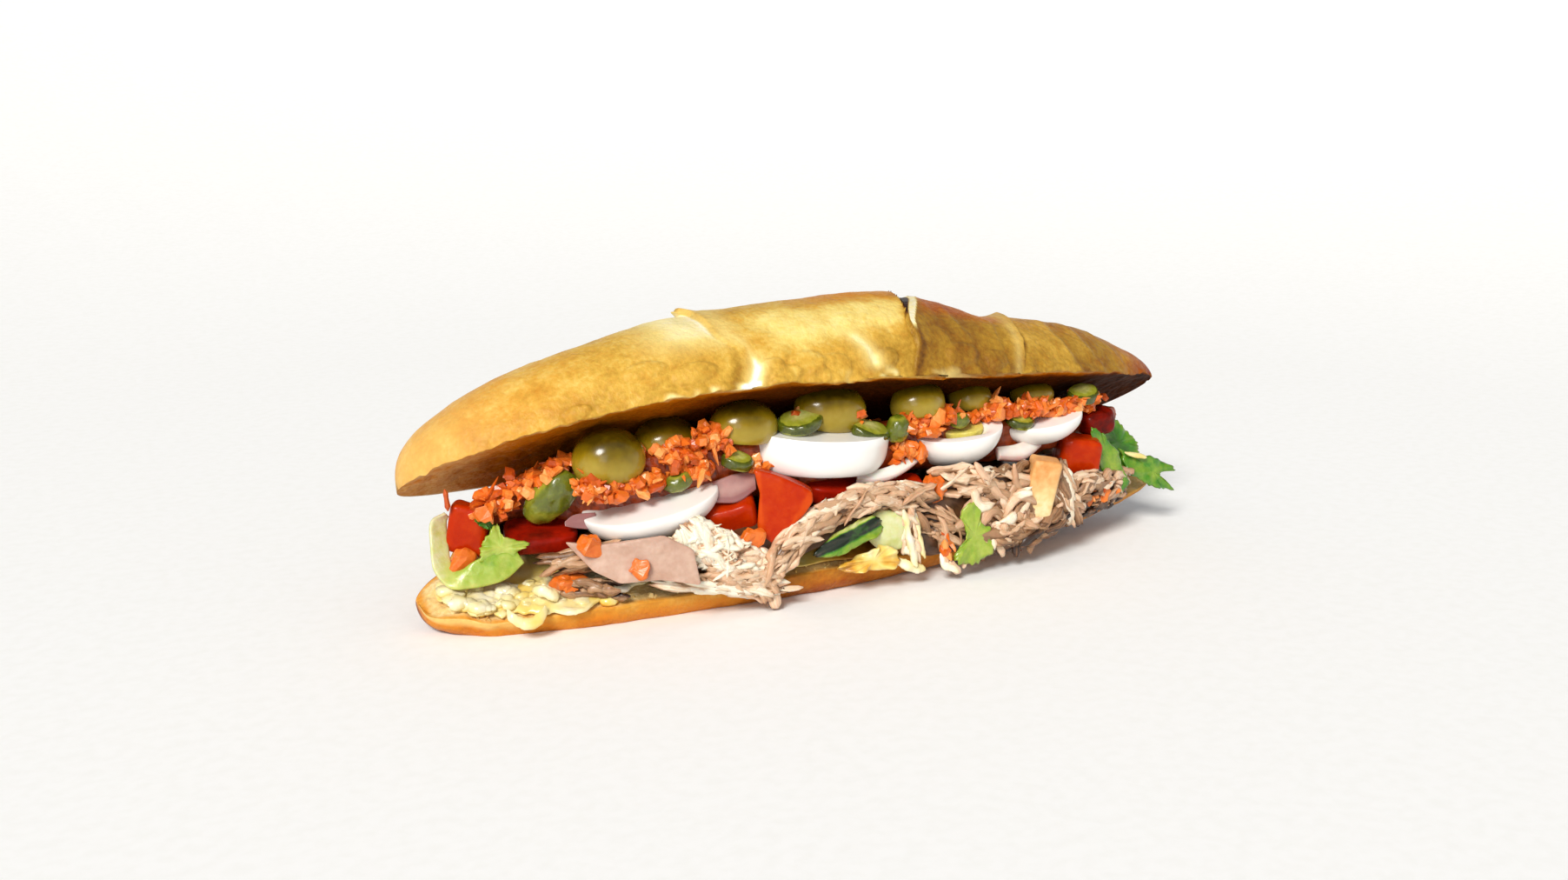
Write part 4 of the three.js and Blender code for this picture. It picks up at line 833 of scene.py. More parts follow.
def lid_shell():
    """The lid with its slashes, folds, blisters and torn front rim."""
    s, angle, inside = bread_grid(crust_steps(430, SLASHES), 150, 34)
    plain = lid_surface(s, angle, inside, 0, 0)
    along = s * LID["half_length"]
    # All relief dies out at the tips, and the slashes at both rims too
    soft = np.clip(lid_section(s)[0] / 12, 0, 1)
    faded = np.clip(np.sin(np.radians(angle)) / 0.25, 0, 1) * soft
    lumps = 0.6 * soft_noise(plain, 19, 3, 2) + 0.26 * soft_noise(plain, 5, 5, 2)
    lumps = lumps + 0.07 * soft_noise(plain, 1.7, 8)
    for at, up, radius in BLISTERS:
        reach = np.hypot(along - LID["half_length"] * at, 1.1 * (angle - up)) / radius
        lumps = lumps + 0.85 * np.exp(-reach ** 4) - 0.5 * hill(reach, 1.08, 0.16)
    # Wrinkled where the lid was held, between the first two slashes
    held = band(s, -0.3, -0.2, 0.08, 0.2) * fade(angle, 22, 40)
    lumps = lumps + 0.8 * held * np.abs(soft_noise(plain, 8, 16, 2))
    folds, behind = fold_relief(s, angle, plain)
    # The crest dips before the third slash and is fuller behind it
    crest = 1.9 * hill(s, 0.72, 0.13) - 2.4 * hill(s, 0.43, 0.06)
    lumps = lumps + folds + crest * band(angle, 24, 56, 100, 150)
    # The rim is torn, with a dent under the first slash, and the slash's lip stands out as an ear at the
    # top
    rim = fade(angle, 0, 7) * (inside == 0)
    torn = rim * (1.0 * soft_noise(plain, 8, 12, 2) + 0.5 * soft_noise(plain, 2.4, 11, 2))
    dent = hill(s, -0.266, 0.018) * fade(angle, 6, 18) * (inside == 0)
    ear = hill(along, -36.6, 1.1) * hill(angle, 68, 5)
    relief = slash_relief(s, angle) * faded + (lumps + torn + 1.7 * ear - 0.9 * dent) * soft
    pit = 0.8 * soft_noise(plain, 3.4, 21, 3) * np.clip(4 * inside * (1 - inside), 0, 1)
    points = lid_surface(s, angle, inside, relief, pit)
    points[..., 0] -= 4.0 * ear
    # The front rim hangs unevenly
    hang = np.where(inside > 0, smoothstep(inside, 0.9, 0.99), fade(angle, 0, 12)) * soft
    points[..., 2] -= hang * (1.3 * soft_noise(plain, 9, 17, 2) + 0.8 * soft_noise(plain, 2.8, 18, 2) + 0.3)
    return closed_rings(points, **lid_looks(s, angle, inside, behind, soft_noise(plain, 5, 13, 2)))


def base_shell():
    """The base with its crust below, its cut face pitted, its rim uneven."""
    s, angle, inside = bread_grid(crust_steps(380, ()), 110, 60)
    plain = base_surface(s, angle, inside, 0, 0)
    soft = np.clip(base_section(s)[0] / 10, 0, 1)
    crust = soft * smoothstep(np.sin(np.radians(angle)), 0, 0.2)
    lumps = 0.7 * soft_noise(plain, 20, 4, 2) + 0.4 * soft_noise(plain, 6, 6, 2)
    lumps = lumps + 0.06 * soft_noise(plain, 1.8, 9)
    rim = fade(angle, 0, 8) * (inside == 0) * soft
    relief = lumps * crust + 0.7 * soft_noise(plain, 4, 14, 2) * rim
    # The open crumb, rougher at the left tip, with a margin of crust round it that wanders
    pit = 0.6 * soft_noise(plain, 3, 22, 3) * (1 + smoothstep(-s, 0.6, 0.8)) + 0.8 * soft_noise(plain, 14, 23)
    pit = pit * np.clip(5 * inside * (1 - inside), 0, 1)
    reach = 2 * base_section(s)[0] * (1 - 0.4 * smoothstep(-s, 0.8, 0.95))
    margin = np.minimum(inside, 1 - inside) * reach + 1.2 * soft_noise(plain, 4, 15, 3)
    ends = smoothstep((1 - np.abs(s)) * BASE["half_length"], 1, 3)
    cut = smoothstep(margin, 0.4, 2.8) * ends * (inside > 0)
    # Browner towards the bottom and the right, with painted shade on the crust below the tuna's arch, and
    # pale dough at the left tip
    bake = 0.4 + 0.1 * smoothstep(angle, 2, 14) + 0.3 * smoothstep(angle, 24, 70)
    bake = bake + 0.08 * smoothstep(s, -0.1, 0.6) + 0.24 * hill(s, -0.08, 0.16) * fade(angle, 16, 40)
    bake = np.where(inside > 0, 0.3, bake)
    blush = 0.55 + 0.3 * smoothstep(angle, 0, 8) - 0.2 * smoothstep(angle, 40, 90)
    blush = blush - 0.25 * smoothstep(s, -0.2, 0.7)
    tip = smoothstep(-s, 0.72, 0.9) * (inside == 0)
    dough = 0.5 * tip * fade(angle + 5 * soft_noise(plain, 4, 19, 2), 1, 11)
    toast = 0.12 + 0.1 * soft_noise(plain, 7, 24, 2)
    points = base_surface(s, angle, inside, relief, pit)
    return closed_rings(points, bake=bake, blush=blush, dough=dough, cut=cut, toast=toast)


def rim_crumb_shell(rng):
    """Torn crumbs along the rim of the base."""
    count = 90
    s = rng.uniform(-0.9, 0.3, count)
    centres = base_surface(s, np.full(count, 180.0), rng.uniform(0.93, 0.985, count), 0, 0.1)
    size = rng.uniform(0.5, 1.1, (count, 1)) * rng.uniform(0.5, 1.6, (count, 3)) * np.array([1.5, 1, 0.7])
    return closed_rings(chunks(rng, centres, size), shade=rng.uniform(0.0, 0.45, count))


def food(at, size, turn=(0, 0, 0), **more):
    """A piece's place, full size and turn, and what more its rounded form takes."""
    return dict(at=at, size=size, turn=turn, **more)


# The pieces, laid in where their solids lie: place, full size and turn

EGGS = {
    "egg_white_1": food((-62, -23.5, 31.8), (40, 26, 20), (8, -11, -6), high=0.1),
    "egg_white_2": food((-7.8, -23, 46.6), (43, 28, 26), (4, 4, -4), side=0.5, low=0.8, high=0.08, edge=0.3),
    "egg_white_3": food((38.2, -23, 43), (31, 22, 24), (10, -5, -8), high=0.06, edge=0.3),
    "egg_white_4": food((72, -21, 42.8), (27, 20, 16), (4, -10, -6), high=0.08),
}
YOLK = food((40, -22.6, 43.4), (15.5, 12.5, 13), (10, -5, -8), high=0.1)
OLIVES = {
    "olive_1": food((-73.4, -22, 45.2), (21, 19, 18.5), (-6, -4, 0), low=0.7),
    "olive_2": food((-54.2, -15.6, 47), (19, 17, 15.4), (0, -8, 0), low=0.6),
    "olive_3": food((-32.2, -22.6, 51), (20.4, 17, 15.4), (0, 6, 0), low=0.6),
    "olive_4": food((-4.1, -22, 52.8), (23, 17, 17), (0, 10, 0), low=0.7),
    "olive_5": food((25.8, -22, 51.8), (17.4, 15, 15.4), (0, -4, 0), low=0.35),
    "olive_6": food((46.8, -18, 51), (14, 13, 11), (0, 0, 0), low=0.6),
    "olive_7": food((71.2, -16, 49.6), (15, 12, 10), (0, 4, 0), low=0.6),
}
GHERKINS = {
    "gherkin_1": food((-88.9, -17.5, 35), (19, 9, 11), (10, -52, -14), side=0.8),
    "gherkin_2": food((-54.6, -27, 37.8), (9, 6, 5.4), (16, -14, 0)),
    "gherkin_3": food((-36.9, -28, 42.2), (9.6, 7.6, 3.6), (24, 8, -16), side=0.5),
    "gherkin_4": food((-16.5, -27, 51.3), (14, 10, 4), (20, -10, 0), side=0.5),
    "gherkin_5": food((5.6, -29, 46.8), (13, 9, 4), (26, 14, 0), side=0.5),
    "gherkin_6": food((14.9, -29, 46.8), (7.4, 7, 9), (0, 8, 0)),
    "gherkin_7": food((37.4, -27, 46.8), (7, 5.6, 5)),
    "gherkin_8": food((88.2, -19.6, 48.8), (11, 9, 3.6), (22, -6, 0), side=0.5),
    "gherkin_9": food((61.4, -24.6, 43.6), (9.6, 7.6, 3.4), (24, 4, 0), side=0.5),
}
TOMATOES = {
    "tomato_1": food((-110.6, -8.6, 26.6), (11, 9, 13.6), (0, 12, -20), plan=0.3, side=0.3),
    "tomato_2": food((-91.7, -14.5, 23.6), (20, 15, 5.6), (12, -4, -12), plan=0.5, side=0.4),
    "tomato_3": food((-38.4, -26, 26.6), (15, 13, 9.6), (10, -18, -16), plan=0.35, side=0.3),
    "tomato_5": food((-5.4, -24.5, 29.6), (17, 14, 6.6), (14, 6, -10), plan=0.5, side=0.4),
    "tomato_6": food((18, -27, 27.8), (12, 11, 6.4), (10, -6, -20), plan=0.5, side=0.4),
    "tomato_7": food((86.4, -20.5, 29.3), (14, 11, 12.6), (6, 6, -20), plan=0.3, side=0.3),
    "tomato_8": food((96, -16, 38.4), (11, 10, 8), (6, -8, 0), plan=0.45, side=0.45),
}
TOMATO_WEDGE = dict(
    at=(-26.2, -34, 28), turn=(-6, 0, -26), thick=8,
    outline=[(-7, 12.7), (-2.9, 11.6), (1.4, 9.8), (7.4, 6.9), (9.7, 5.4), (9.8, 2.5), (7.4, -0.6),
             (3.6, -4.5), (1.4, -7.6), (-1.6, -12.8), (-4.4, -11.4), (-6, -6.8), (-6.6, -3.7), (-6, 1.7),
             (-5.6, 5.7)])
TUNA_SLICE = dict(
    at=(-70.6, -37, 18.4), turn=(-14, 0, -20), thick=2.6,
    outline=[(-19.6, 8.6), (-10, 6.8), (7.6, 7.4), (15.4, 2.6), (16.4, -7.4), (5.6, -4.8), (-5.5, -4.6),
             (-12.6, -0.4)])
TUNA_CHUNK = food((63.4, -33.8, 24.4), (9.4, 8, 18.6), (8, 8, -20), plan=0.3, side=0.2)
CARROT_BITS = {
    "carrot_bit_1": food((-82.7, -32, 24.6), (7, 5, 4.4), (10, 24, 10)),
    "carrot_bit_2": food((-71.6, -39.4, 18.3), (5.6, 2.6, 5), (-14, 30, -20)),
    "carrot_bit_3": food((-36.6, -38, 22.4), (6, 4, 5), (0, 20, 0)),
    "carrot_bit_4": food((-87.4, -26.5, 12.4), (9, 6.5, 4.6), (10, 8, 12)),
    "carrot_bit_5": food((-114, -14.4, 18.4), (6, 4, 7), (0, 16, 0)),
    "carrot_bit_6": food((25.3, -33.6, 28.4), (7, 5, 7.5), (0, -24, 0)),
}
ONIONS = {
    "onion_1": dict(thick=1.2, shade=0.05, lower=[(-45, -29.5, 31.2), (-38, -30.5, 30.8), (-32, -30, 33.6)],
                    upper=[(-44, -26.5, 36.4), (-38, -27.5, 38.2), (-31.4, -27.5, 38.6)]),
    "onion_2": dict(thick=1.8, shade=0.7,
                    lower=[(0.2, -31, 32.2), (8, -32.2, 31.8), (16, -31.2, 33.4), (25.6, -28, 37.2)],
                    upper=[(1.6, -28.5, 34.4), (8, -29, 34.6), (16, -28.5, 36.2), (25.8, -26.5, 39)]),
    "onion_3": dict(thick=2.2, shade=0.6, lower=[(51.6, -28, 33), (60.6, -28, 31.8), (69.4, -24, 34)],
                    upper=[(52.6, -25, 36), (61, -24, 36), (69.6, -21.6, 38.4)]),
    "onion_4": dict(thick=0.6, shade=-0.1,
                    lower=[(-86.8, -22.2, 27.6), (-83.6, -23.2, 26.8), (-77.6, -25, 26)],
                    upper=[(-86.6, -21.6, 28.8), (-83.6, -21.6, 30.4), (-78, -22.6, 30.6)]),
}
LETTUCE_RIB = food((8.2, -36.2, 18.4), (13, 3.6, 11.5), (0, 18, -10), plan=0.8, side=0.6)
LEAF_STRIP = dict(
    lower=[(-116.5, -7, 31.2), (-121, -8.6, 29.6), (-122.2, -12, 23.5), (-122.6, -15.6, 18.5),
           (-120.8, -17.6, 14.8), (-118.4, -19.4, 12.9), (-113.4, -20.6, 12.7), (-108.1, -21.4, 13.4),
           (-103.4, -21.8, 14.9), (-98.6, -21.6, 18.4)],
    upper=[(-115.6, -6, 29.8), (-116.3, -7, 28), (-116.9, -10, 23.5), (-117.2, -13, 19.3),
           (-116.6, -15.6, 16.9), (-114.6, -17.6, 17.6), (-112.3, -18.6, 19.6), (-108.7, -19.4, 21.4),
           (-105.2, -20, 21.6), (-100.4, -20.4, 21.6)])
LEAVES = {
    "lettuce_1_flap": [
        (-109.6, -20, 18.2), (-110.4, -19.4, 22.3), (-109, -18.6, 25.4), (-104.8, -17.6, 29.4),
        (-103.6, -19.6, 26.2), (-96.9, -21.4, 23.8), (-100.3, -21.2, 21.5), (-101.8, -20.8, 17.5)],
    "lettuce_1_shred": [
        (-110.6, -16, 30.3), (-108.8, -15, 31.8), (-106.3, -15.5, 30.6), (-104.6, -16, 28.5),
        (-105.3, -16.5, 27), (-107.9, -16.5, 28.1)],
    "lettuce_2": [
        (-18, -38.6, 14.6), (-12.4, -38.6, 18.9), (-7.4, -38.4, 21.4), (-2.6, -38, 23), (2.6, -37.8, 23.6),
        (5.4, -37.8, 21), (4.6, -38.2, 18), (-1.5, -39, 15.9), (-6.9, -39.2, 14.1), (-12.4, -39.2, 13.2)],
    "lettuce_3": [
        (37.2, -36.8, 24.2), (40, -37.4, 20.9), (39.2, -38, 17.1), (42.6, -38.4, 14.9), (41.7, -38.6, 12.3),
        (44, -38.8, 9.1), (39.9, -39.4, 5.4), (34.8, -39.8, 4.6), (29.4, -39.8, 6.5), (30, -39.4, 8.9),
        (32.8, -39, 12), (33.5, -38.6, 16.1), (32.3, -38, 20.4)],
    "lettuce_4": [
        (92.2, -20, 38), (95.4, -20.4, 37), (97.6, -21.4, 32.6), (101.9, -22.2, 28.5), (103.6, -23.2, 22.1),
        (105.2, -23.6, 17.8), (99.6, -24.6, 14.6), (97.5, -24.2, 19.2), (98, -23.8, 22.8),
        (94.9, -23.8, 23.4), (91.6, -23.2, 27.2), (91.1, -22.6, 30.6), (90.6, -21.4, 34.2)],
    "lettuce_5": [
        (107.6, -15, 27.4), (111.7, -16, 26), (117.1, -17, 24.8), (123.7, -17.8, 22.4), (128.2, -18.5, 18.9),
        (125.1, -18.5, 18.8), (122.1, -18.5, 18.4), (123.1, -19, 16.3), (127.6, -19.5, 12.5),
        (122.7, -19.5, 13.3), (118.3, -19.5, 14.4), (114.2, -19, 17), (108.6, -18, 20.6)],
    "lettuce_5_fold": [
        (105.4, -9, 38), (111, -10.4, 34.7), (115.6, -12, 29.4), (116.6, -13.6, 25), (109.6, -14.6, 19),
        (103.4, -13.6, 24.9), (101.8, -12, 31.9)],
}

# How the tuna's strands run: each flow is a tube, half as high and deep as up and deep, round a smooth
# line. Then come its count, the strands' lengths, widths and shades from dark to pale, and how far they
# slant across it.
TUNA_FLOWS = (
    dict(line=[(-38, -39.2, 8.6), (-31, -39.2, 13.4), (-25, -39, 19.2), (-18, -38.4, 23.8), (-10, -37.6, 27),
               (-2, -36.8, 28.6), (6, -36.2, 28.8), (14, -35.8, 27.8), (22, -35.4, 26)],
         up=3.3, deep=2.6, count=180, length=(6, 13), width=(1.6, 3.3), shade=(0.3, 0.76), slant=0.42),
    dict(line=[(-57, -34, 25), (-52.5, -35.6, 22.6), (-48, -37, 20), (-43.5, -38, 17.4)],
         up=5.2, deep=3.4, count=170, length=(3.5, 8), width=(1.4, 3.0), shade=(0.78, 1.05), slant=0.7),
    dict(line=[(-42, -36.6, 19), (-37.5, -37.4, 16), (-33.5, -38.2, 12.6)],
         up=3.8, deep=1.8, count=44, length=(5, 10), width=(1.6, 3.2), shade=(0.4, 0.78), slant=0.4),
    dict(line=[(-50, -38, 14.6), (-44, -39, 12.6), (-38, -39.6, 10), (-33, -40, 8)],
         up=3.8, deep=2.4, count=90, length=(5, 11), width=(1.6, 3.2), shade=(0.36, 0.84), slant=0.4),
    dict(line=[(-63, -37.2, 11.6), (-54, -38.4, 10.6), (-45, -39.6, 9.6), (-36, -40.4, 8.4),
               (-28, -40.9, 6.6)],
         up=1.3, deep=1.2, count=26, length=(10, 20), width=(1.8, 3.4), shade=(0.55, 0.95), slant=0.12),
    dict(line=[(-90, -25, 18.2), (-86, -26.8, 18.8), (-81, -28.8, 19.6), (-76, -30.8, 20.6)],
         up=2.8, deep=2.2, count=26, length=(8, 15), width=(1.8, 3.2), shade=(-0.05, 0.42), slant=0.12),
    dict(line=[(-87, -27.6, 11.2), (-82, -29.4, 11.2), (-76, -32, 10.6)],
         up=2.0, deep=2.0, count=22, length=(5, 10), width=(1.8, 3.2), shade=(0.05, 0.5), slant=0.3),
    dict(line=[(13, -36, 26), (14.4, -36.4, 21), (15, -36.8, 16), (16, -37, 11)],
         up=2.6, deep=1.4, count=24, length=(5, 11), width=(1.8, 3.6), shade=(0.5, 0.95), slant=0.4),
    dict(line=[(20, -35, 20), (26, -35.6, 18), (30, -36, 13)],
         up=3.6, deep=1.6, count=30, length=(6, 12), width=(1.8, 3.4), shade=(0.05, 0.5), slant=0.5),
    dict(line=[(26, -33.6, 30), (34, -33.6, 29.6), (42, -33.4, 28), (50, -33, 27.6), (58, -32, 28.6)],
         up=3.4, deep=2.4, count=46, length=(8, 15), width=(2.2, 4.6), shade=(0.1, 0.8), slant=0.4),
    dict(line=[(39, -35.6, 13.6), (46, -36, 12), (54, -36, 11.4), (61, -35.4, 12.2), (67, -34.6, 13.4),
               (72, -33.4, 15)],
         up=3.0, deep=2.4, count=54, length=(6, 12), width=(2.0, 4.2), shade=(0.0, 0.62), slant=0.36),
    dict(line=[(71, -30.6, 28), (72.6, -31, 23), (74, -31.4, 18), (77, -31, 14.6)],
         up=3.4, deep=2.6, count=40, length=(8, 14), width=(2.2, 4.6), shade=(0.1, 0.85), slant=0.3),
    dict(line=[(78, -30, 20), (85, -28.4, 21.4), (92, -26, 20), (99, -23, 18.6), (106, -19, 17)],
         up=4.0, deep=2.2, count=60, length=(5, 11), width=(1.8, 3.8), shade=(0.1, 0.76), slant=0.35),
    dict(line=[(72, -32.6, 13.4), (82, -28.8, 13.6), (92, -24.6, 13.6), (101, -20.2, 13.8),
               (108, -15.8, 14.4)],
         up=2.4, deep=1.6, count=66, length=(4, 8), width=(1.6, 3.2), shade=(-0.1, 0.55), slant=0.4),
    dict(line=[(92, -10, 17), (99, -9, 17.6), (105, -7, 18.4), (110, -6, 19)],
         up=4.4, deep=5.4, count=60, length=(6, 13), width=(2.0, 4.2), shade=(0.1, 0.7), slant=0.4),
)

# Where the carrot lies thick: middle, half sizes of each cluster, and how many bits
CARROT_CLUSTERS = (
    ((-104, -13.4, 34.4), (5.4, 4, 3.2), 30), ((-95, -14, 38.6), (6, 4, 3.6), 34),
    ((-86, -18, 43.4), (5, 3, 2.6), 14), ((-77, -28, 39.2), (9, 4, 2.8), 58),
    ((-65, -26.6, 38.6), (6, 3.6, 2.4), 22), ((-53, -24.4, 44.6), (7, 4.4, 5.6), 72),
    ((-45, -26.4, 49.4), (6, 3.6, 3.2), 34), ((-48, -27, 40.4), (4, 3, 3), 18),
    ((-36, -24.4, 50), (4, 3, 2.6), 12), ((1.6, -26.4, 50.6), (5, 3.2, 2.8), 18),
    ((-13, -23, 53.4), (3.4, 2, 2), 6), ((24, -26.4, 47.4), (7, 3.6, 3), 36),
    ((33, -26.4, 48.2), (6, 3, 3), 24), ((20.6, -27.4, 38.8), (5.6, 3, 2.6), 20),
    ((51, -24.4, 48.6), (7, 3.4, 2.6), 34), ((90, -26.4, 17.6), (10, 1.4, 3), 16),
    ((27, -37.8, 14), (2, 0.8, 4), 4), ((-31, -27, 39.4), (3, 2, 1.4), 6),
    ((64, -24, 47.6), (7, 3.4, 2.4), 36), ((78, -22.8, 46), (8, 3.4, 2.4), 40),
    ((91, -18.4, 46), (6, 3.6, 3), 24),
)


def slab_of_layers(form):
    """Pressed tuna: a plate with low waves over it."""
    points = plate(form["outline"], form["thick"], rings=30, around=150)
    points[..., 1] += 0.5 * soft_noise(points * np.array([0.4, 1, 1]), 3.5, 31, 2)
    return placed(points, form["at"], form["turn"])


def pebble(form, rough=0.0, patch=6.0, seed=1, rings=40, around=64):
    """A rounded form made uneven by patches of a size in millimetres, turned and put in its place."""
    shape = {key: form[key] for key in ("plan", "side", "low", "high", "edge") if key in form}
    points = rounded(form["size"], rings, around, **shape)
    out = soft_noise(points + 40.0 * seed, patch, seed, 2)[..., None] * rough
    return placed(points + out * unit(points), form["at"], form["turn"])


# Settings


class RollLook(bpy.types.PropertyGroup):
    crust: FloatVectorProperty(
        name="Crust", description="Gold of the middle of the crust", subtype="COLOR", size=3,
        default=linear("#d4a743")[:3])
    crumb: FloatVectorProperty(
        name="Crumb", description="Cream of the cut bread", subtype="COLOR", size=3,
        default=linear("#e0bf7e")[:3])


class FillingLook(bpy.types.PropertyGroup):
    tuna: FloatVectorProperty(
        name="Tuna", description="Colour of the flaked tuna", subtype="COLOR", size=3,
        default=linear("#d6a884")[:3])
    carrot: FloatVectorProperty(
        name="Carrot", description="Colour of the grated carrot", subtype="COLOR", size=3,
        default=linear("#dd6616")[:3])
    tomato: FloatVectorProperty(
        name="Tomato", description="Colour of the cut tomato", subtype="COLOR", size=3,
        default=linear("#b22a00")[:3])
    olive: FloatVectorProperty(
        name="Olive", description="Colour of the olives", subtype="COLOR", size=3,
        default=linear("#88700c")[:3])
    leaf: FloatVectorProperty(
        name="Lettuce", description="Colour of the lettuce", subtype="COLOR", size=3,
        default=linear("#94ac32")[:3])
    loose_bits: IntProperty(
        name="Loose carrot", description="Bits of carrot strewn over the heap", default=420, min=0)
    leaf_thickness: FloatProperty(
        name="Leaf thickness", description="Thickness of the lettuce", unit="LENGTH", default=0.0008,
        min=0.0003, max=0.002)


class StageLook(bpy.types.PropertyGroup):
    sun: FloatProperty(name="Sun", description="Strength of the soft key light", default=3.1, min=0)
    softness: FloatProperty(
        name="Softness", description="How wide the key light is", unit="ROTATION", default=math.radians(20))
    sky: FloatProperty(
        name="Sky", description="Strength of the even light from all round", default=0.34, min=0)
    paper: FloatVectorProperty(
        name="Floor", description="Colour of the floor", subtype="COLOR", size=3,
        default=linear("#fdfdfc")[:3])


def floor_mesh():
    """Rings of points round the middle, flat near it and rising with the square of the way beyond, like a
    wide bowl, so that the paper fills the picture."""
    rings, around = 70, 96
    reach = np.linspace(0.02, FLOOR_REACH, rings)[:, None] * np.ones(around)
    turn = 2 * np.pi * np.arange(around)[None] / around
    rise = FLOOR_RISE * (np.clip(reach - FLOOR_FLAT, 0, None) / (FLOOR_REACH - FLOOR_FLAT)) ** 2
    points = np.stack([reach * np.cos(turn), reach * np.sin(turn), rise], -1).reshape(-1, 3)
    mesh = bpy.data.meshes.new("floor")
    mesh.from_pydata(points.tolist(), [], ring_quads(rings, around)[:, ::-1].tolist() + [list(range(around))])
    return mesh


def aimed(data, place, target):
    """A camera or light at its place, turned towards its target."""
    made = bpy.data.objects.new(data.name, data)
    made.location = place
    made.rotation_euler = (Vector(target) - Vector(place)).to_track_quat("-Z", "Y").to_euler()
    bpy.context.scene.collection.objects.link(made)
    return made


class BOCADILLO_OT_stage(bpy.types.Operator):
    """Adds the pale floor, the soft lights and the camera"""
    bl_idname = "bocadillo.stage"
    bl_label = "Stage"

    def execute(self, context):
        look = context.scene.bocadillo_stage
        # Matt paper: white, with faint soft fibres
        finish = {"Roughness": 0.9, "Specular IOR Level": 0.1}
        material, tree, shader, where = blank_material("matt_paper", finish)
        patches = {"Scale": 1 / (4 * MM), "Detail": 3.0}
        fibre = add(tree, "ShaderNodeTexNoise", patches, {"Vector": where}).outputs["Fac"]
        stops = ((0.3, "#fafaf8"), (0.6, look.paper))
        paper = add(tree, "ShaderNodeValToRGB", {"stops": stops}, {"Fac": fibre}).outputs["Color"]
        tree.links.new(paper, shader.inputs["Base Color"])
        floor = bpy.data.objects.new("floor", floor_mesh())
        floor.data.materials.append(material)
        context.scene.collection.objects.link(floor)

        target = Vector((CAMERA_TARGET + ROLL_ORIGIN) * MM)
        azimuth, elevation = math.radians(CAMERA_AZIMUTH), math.radians(CAMERA_ELEVATION)
        level = math.cos(elevation)
        back = Vector((math.sin(azimuth) * level, -math.cos(azimuth) * level, math.sin(elevation)))
        lens = bpy.data.cameras.new("camera")
        lens.lens = CAMERA_LENS
        lens.sensor_fit = "HORIZONTAL"
        lens.clip_start = 0.01
        context.scene.camera = aimed(lens, target + back * CAMERA_DISTANCE * MM, target)

        sun = bpy.data.lights.new("sun", "SUN")
        sun.energy = look.sun
        sun.angle = look.softness
        sun.color = (1.0, 0.97, 0.92)
        aimed(sun, SUN_PLACE, LIT_PLACE)
        window = bpy.data.lights.new("window", "AREA")
        window.size = WINDOW_SIZE
        window.energy = WINDOW_STRENGTH
        aimed(window, WINDOW_PLACE, LIT_PLACE)
        world = bpy.data.worlds.new("soft daylight")
        world.use_nodes = True
        sky = world.node_tree.nodes["Background"].inputs
        sky["Color"].default_value = linear("#f3f6fb")
        sky["Strength"].default_value = look.sky
        context.scene.world = world
        context.scene.view_settings.view_transform = "Standard"
        return {"FINISHED"}


class BOCADILLO_OT_bread(bpy.types.Operator):
    """Adds both halves of the roll and the torn crumbs on the base's rim"""
    bl_idname = "bocadillo.bread"
    bl_label = "Bread"

    def execute(self, context):
        look = context.scene.bocadillo_roll
        crust = crust_material(look)
        make_piece("roll_lid", lid_shell(), crust, ["bread_lid"])
        make_piece("roll_base", base_shell(), crust, ["bread_base"])
        # Torn white crumb: dry, open and pale
        stops = ((0, "#cf9f52"), (0.4, look.crumb), (1, "#faefcb"))
        finish = {"Roughness": 0.8, "Subsurface Weight": 0.15}
        crumb = food_material("torn_wheat_crumb", stops, ((2, 0.3),), 0.3, finish)
        make_piece("rim_crumbs", rim_crumb_shell(np.random.default_rng(5)), crumb, smooth=False)
        return {"FINISHED"}


def sauce_spread():
    """The mayonnaise on the base: a thin layer in low waves, its front edge uneven, heaped up at the left
    tip."""
    t = np.linspace(-0.995, 0.995, 300)[:, None]
    share = -0.035 + 0.93 * lerp(t, np.sin(t * np.pi / 2), 0.6)
    width, _, _, middle, _ = base_section(share)
    turn = 2 * np.pi * np.arange(130)[None] / 130
    x = share * BASE["half_length"] + 0 * turn
    left = smoothstep(-x, 52, 72)
    near = middle - width * (0.88 + 0.06 * left)
    near = near - 2.6 * hill(x, -90, 14) - 2.5 * hill(x, 12, 16) + 6 * hill(x, -64, 12)
    far = middle + width * base_across(share, 0.8)[0]
    fullness = np.sqrt(1 - t ** 6)
    edge = np.stack([x, near, 0 * x], -1)
    near = near + 2.2 * soft_noise(edge, 9, 41, 2) + 1.4 * left * soft_noise(edge, 3, 45, 2)
    y = (near + far) / 2 + power(np.cos(turn), 0.4) * fullness * (far - near) / 2
    flat = np.stack([x, y, 0 * x], -1)
    lumpy = soft_noise(flat * (0.75, 1.1, 1), 7, 44, 3)
    mass = left * smoothstep(-y, 14, 20)
    heaped = 1.2 * smoothstep(lumpy, -0.35, 0.35) + 1.6 * np.abs(soft_noise(flat * (0.8, 1, 1), 3, 46, 2))
    thick = SPREAD - 0.2 + 0.9 * soft_noise(flat, 8, 42, 3) + mass * heaped
    rise = 0.5 + 0.5 * power(np.sin(turn), 0.6) * fullness
    points = np.stack([x, y, base_height(x, y) + GAP + rise * thick], -1)
    shade = 0.5 + 0.26 * soft_noise(flat, 10, 43, 2) + mass * (0.25 * lumpy + 0.16) - 0.45 * hill(x, 4, 24)
    return closed_rings(points, shade=shade)


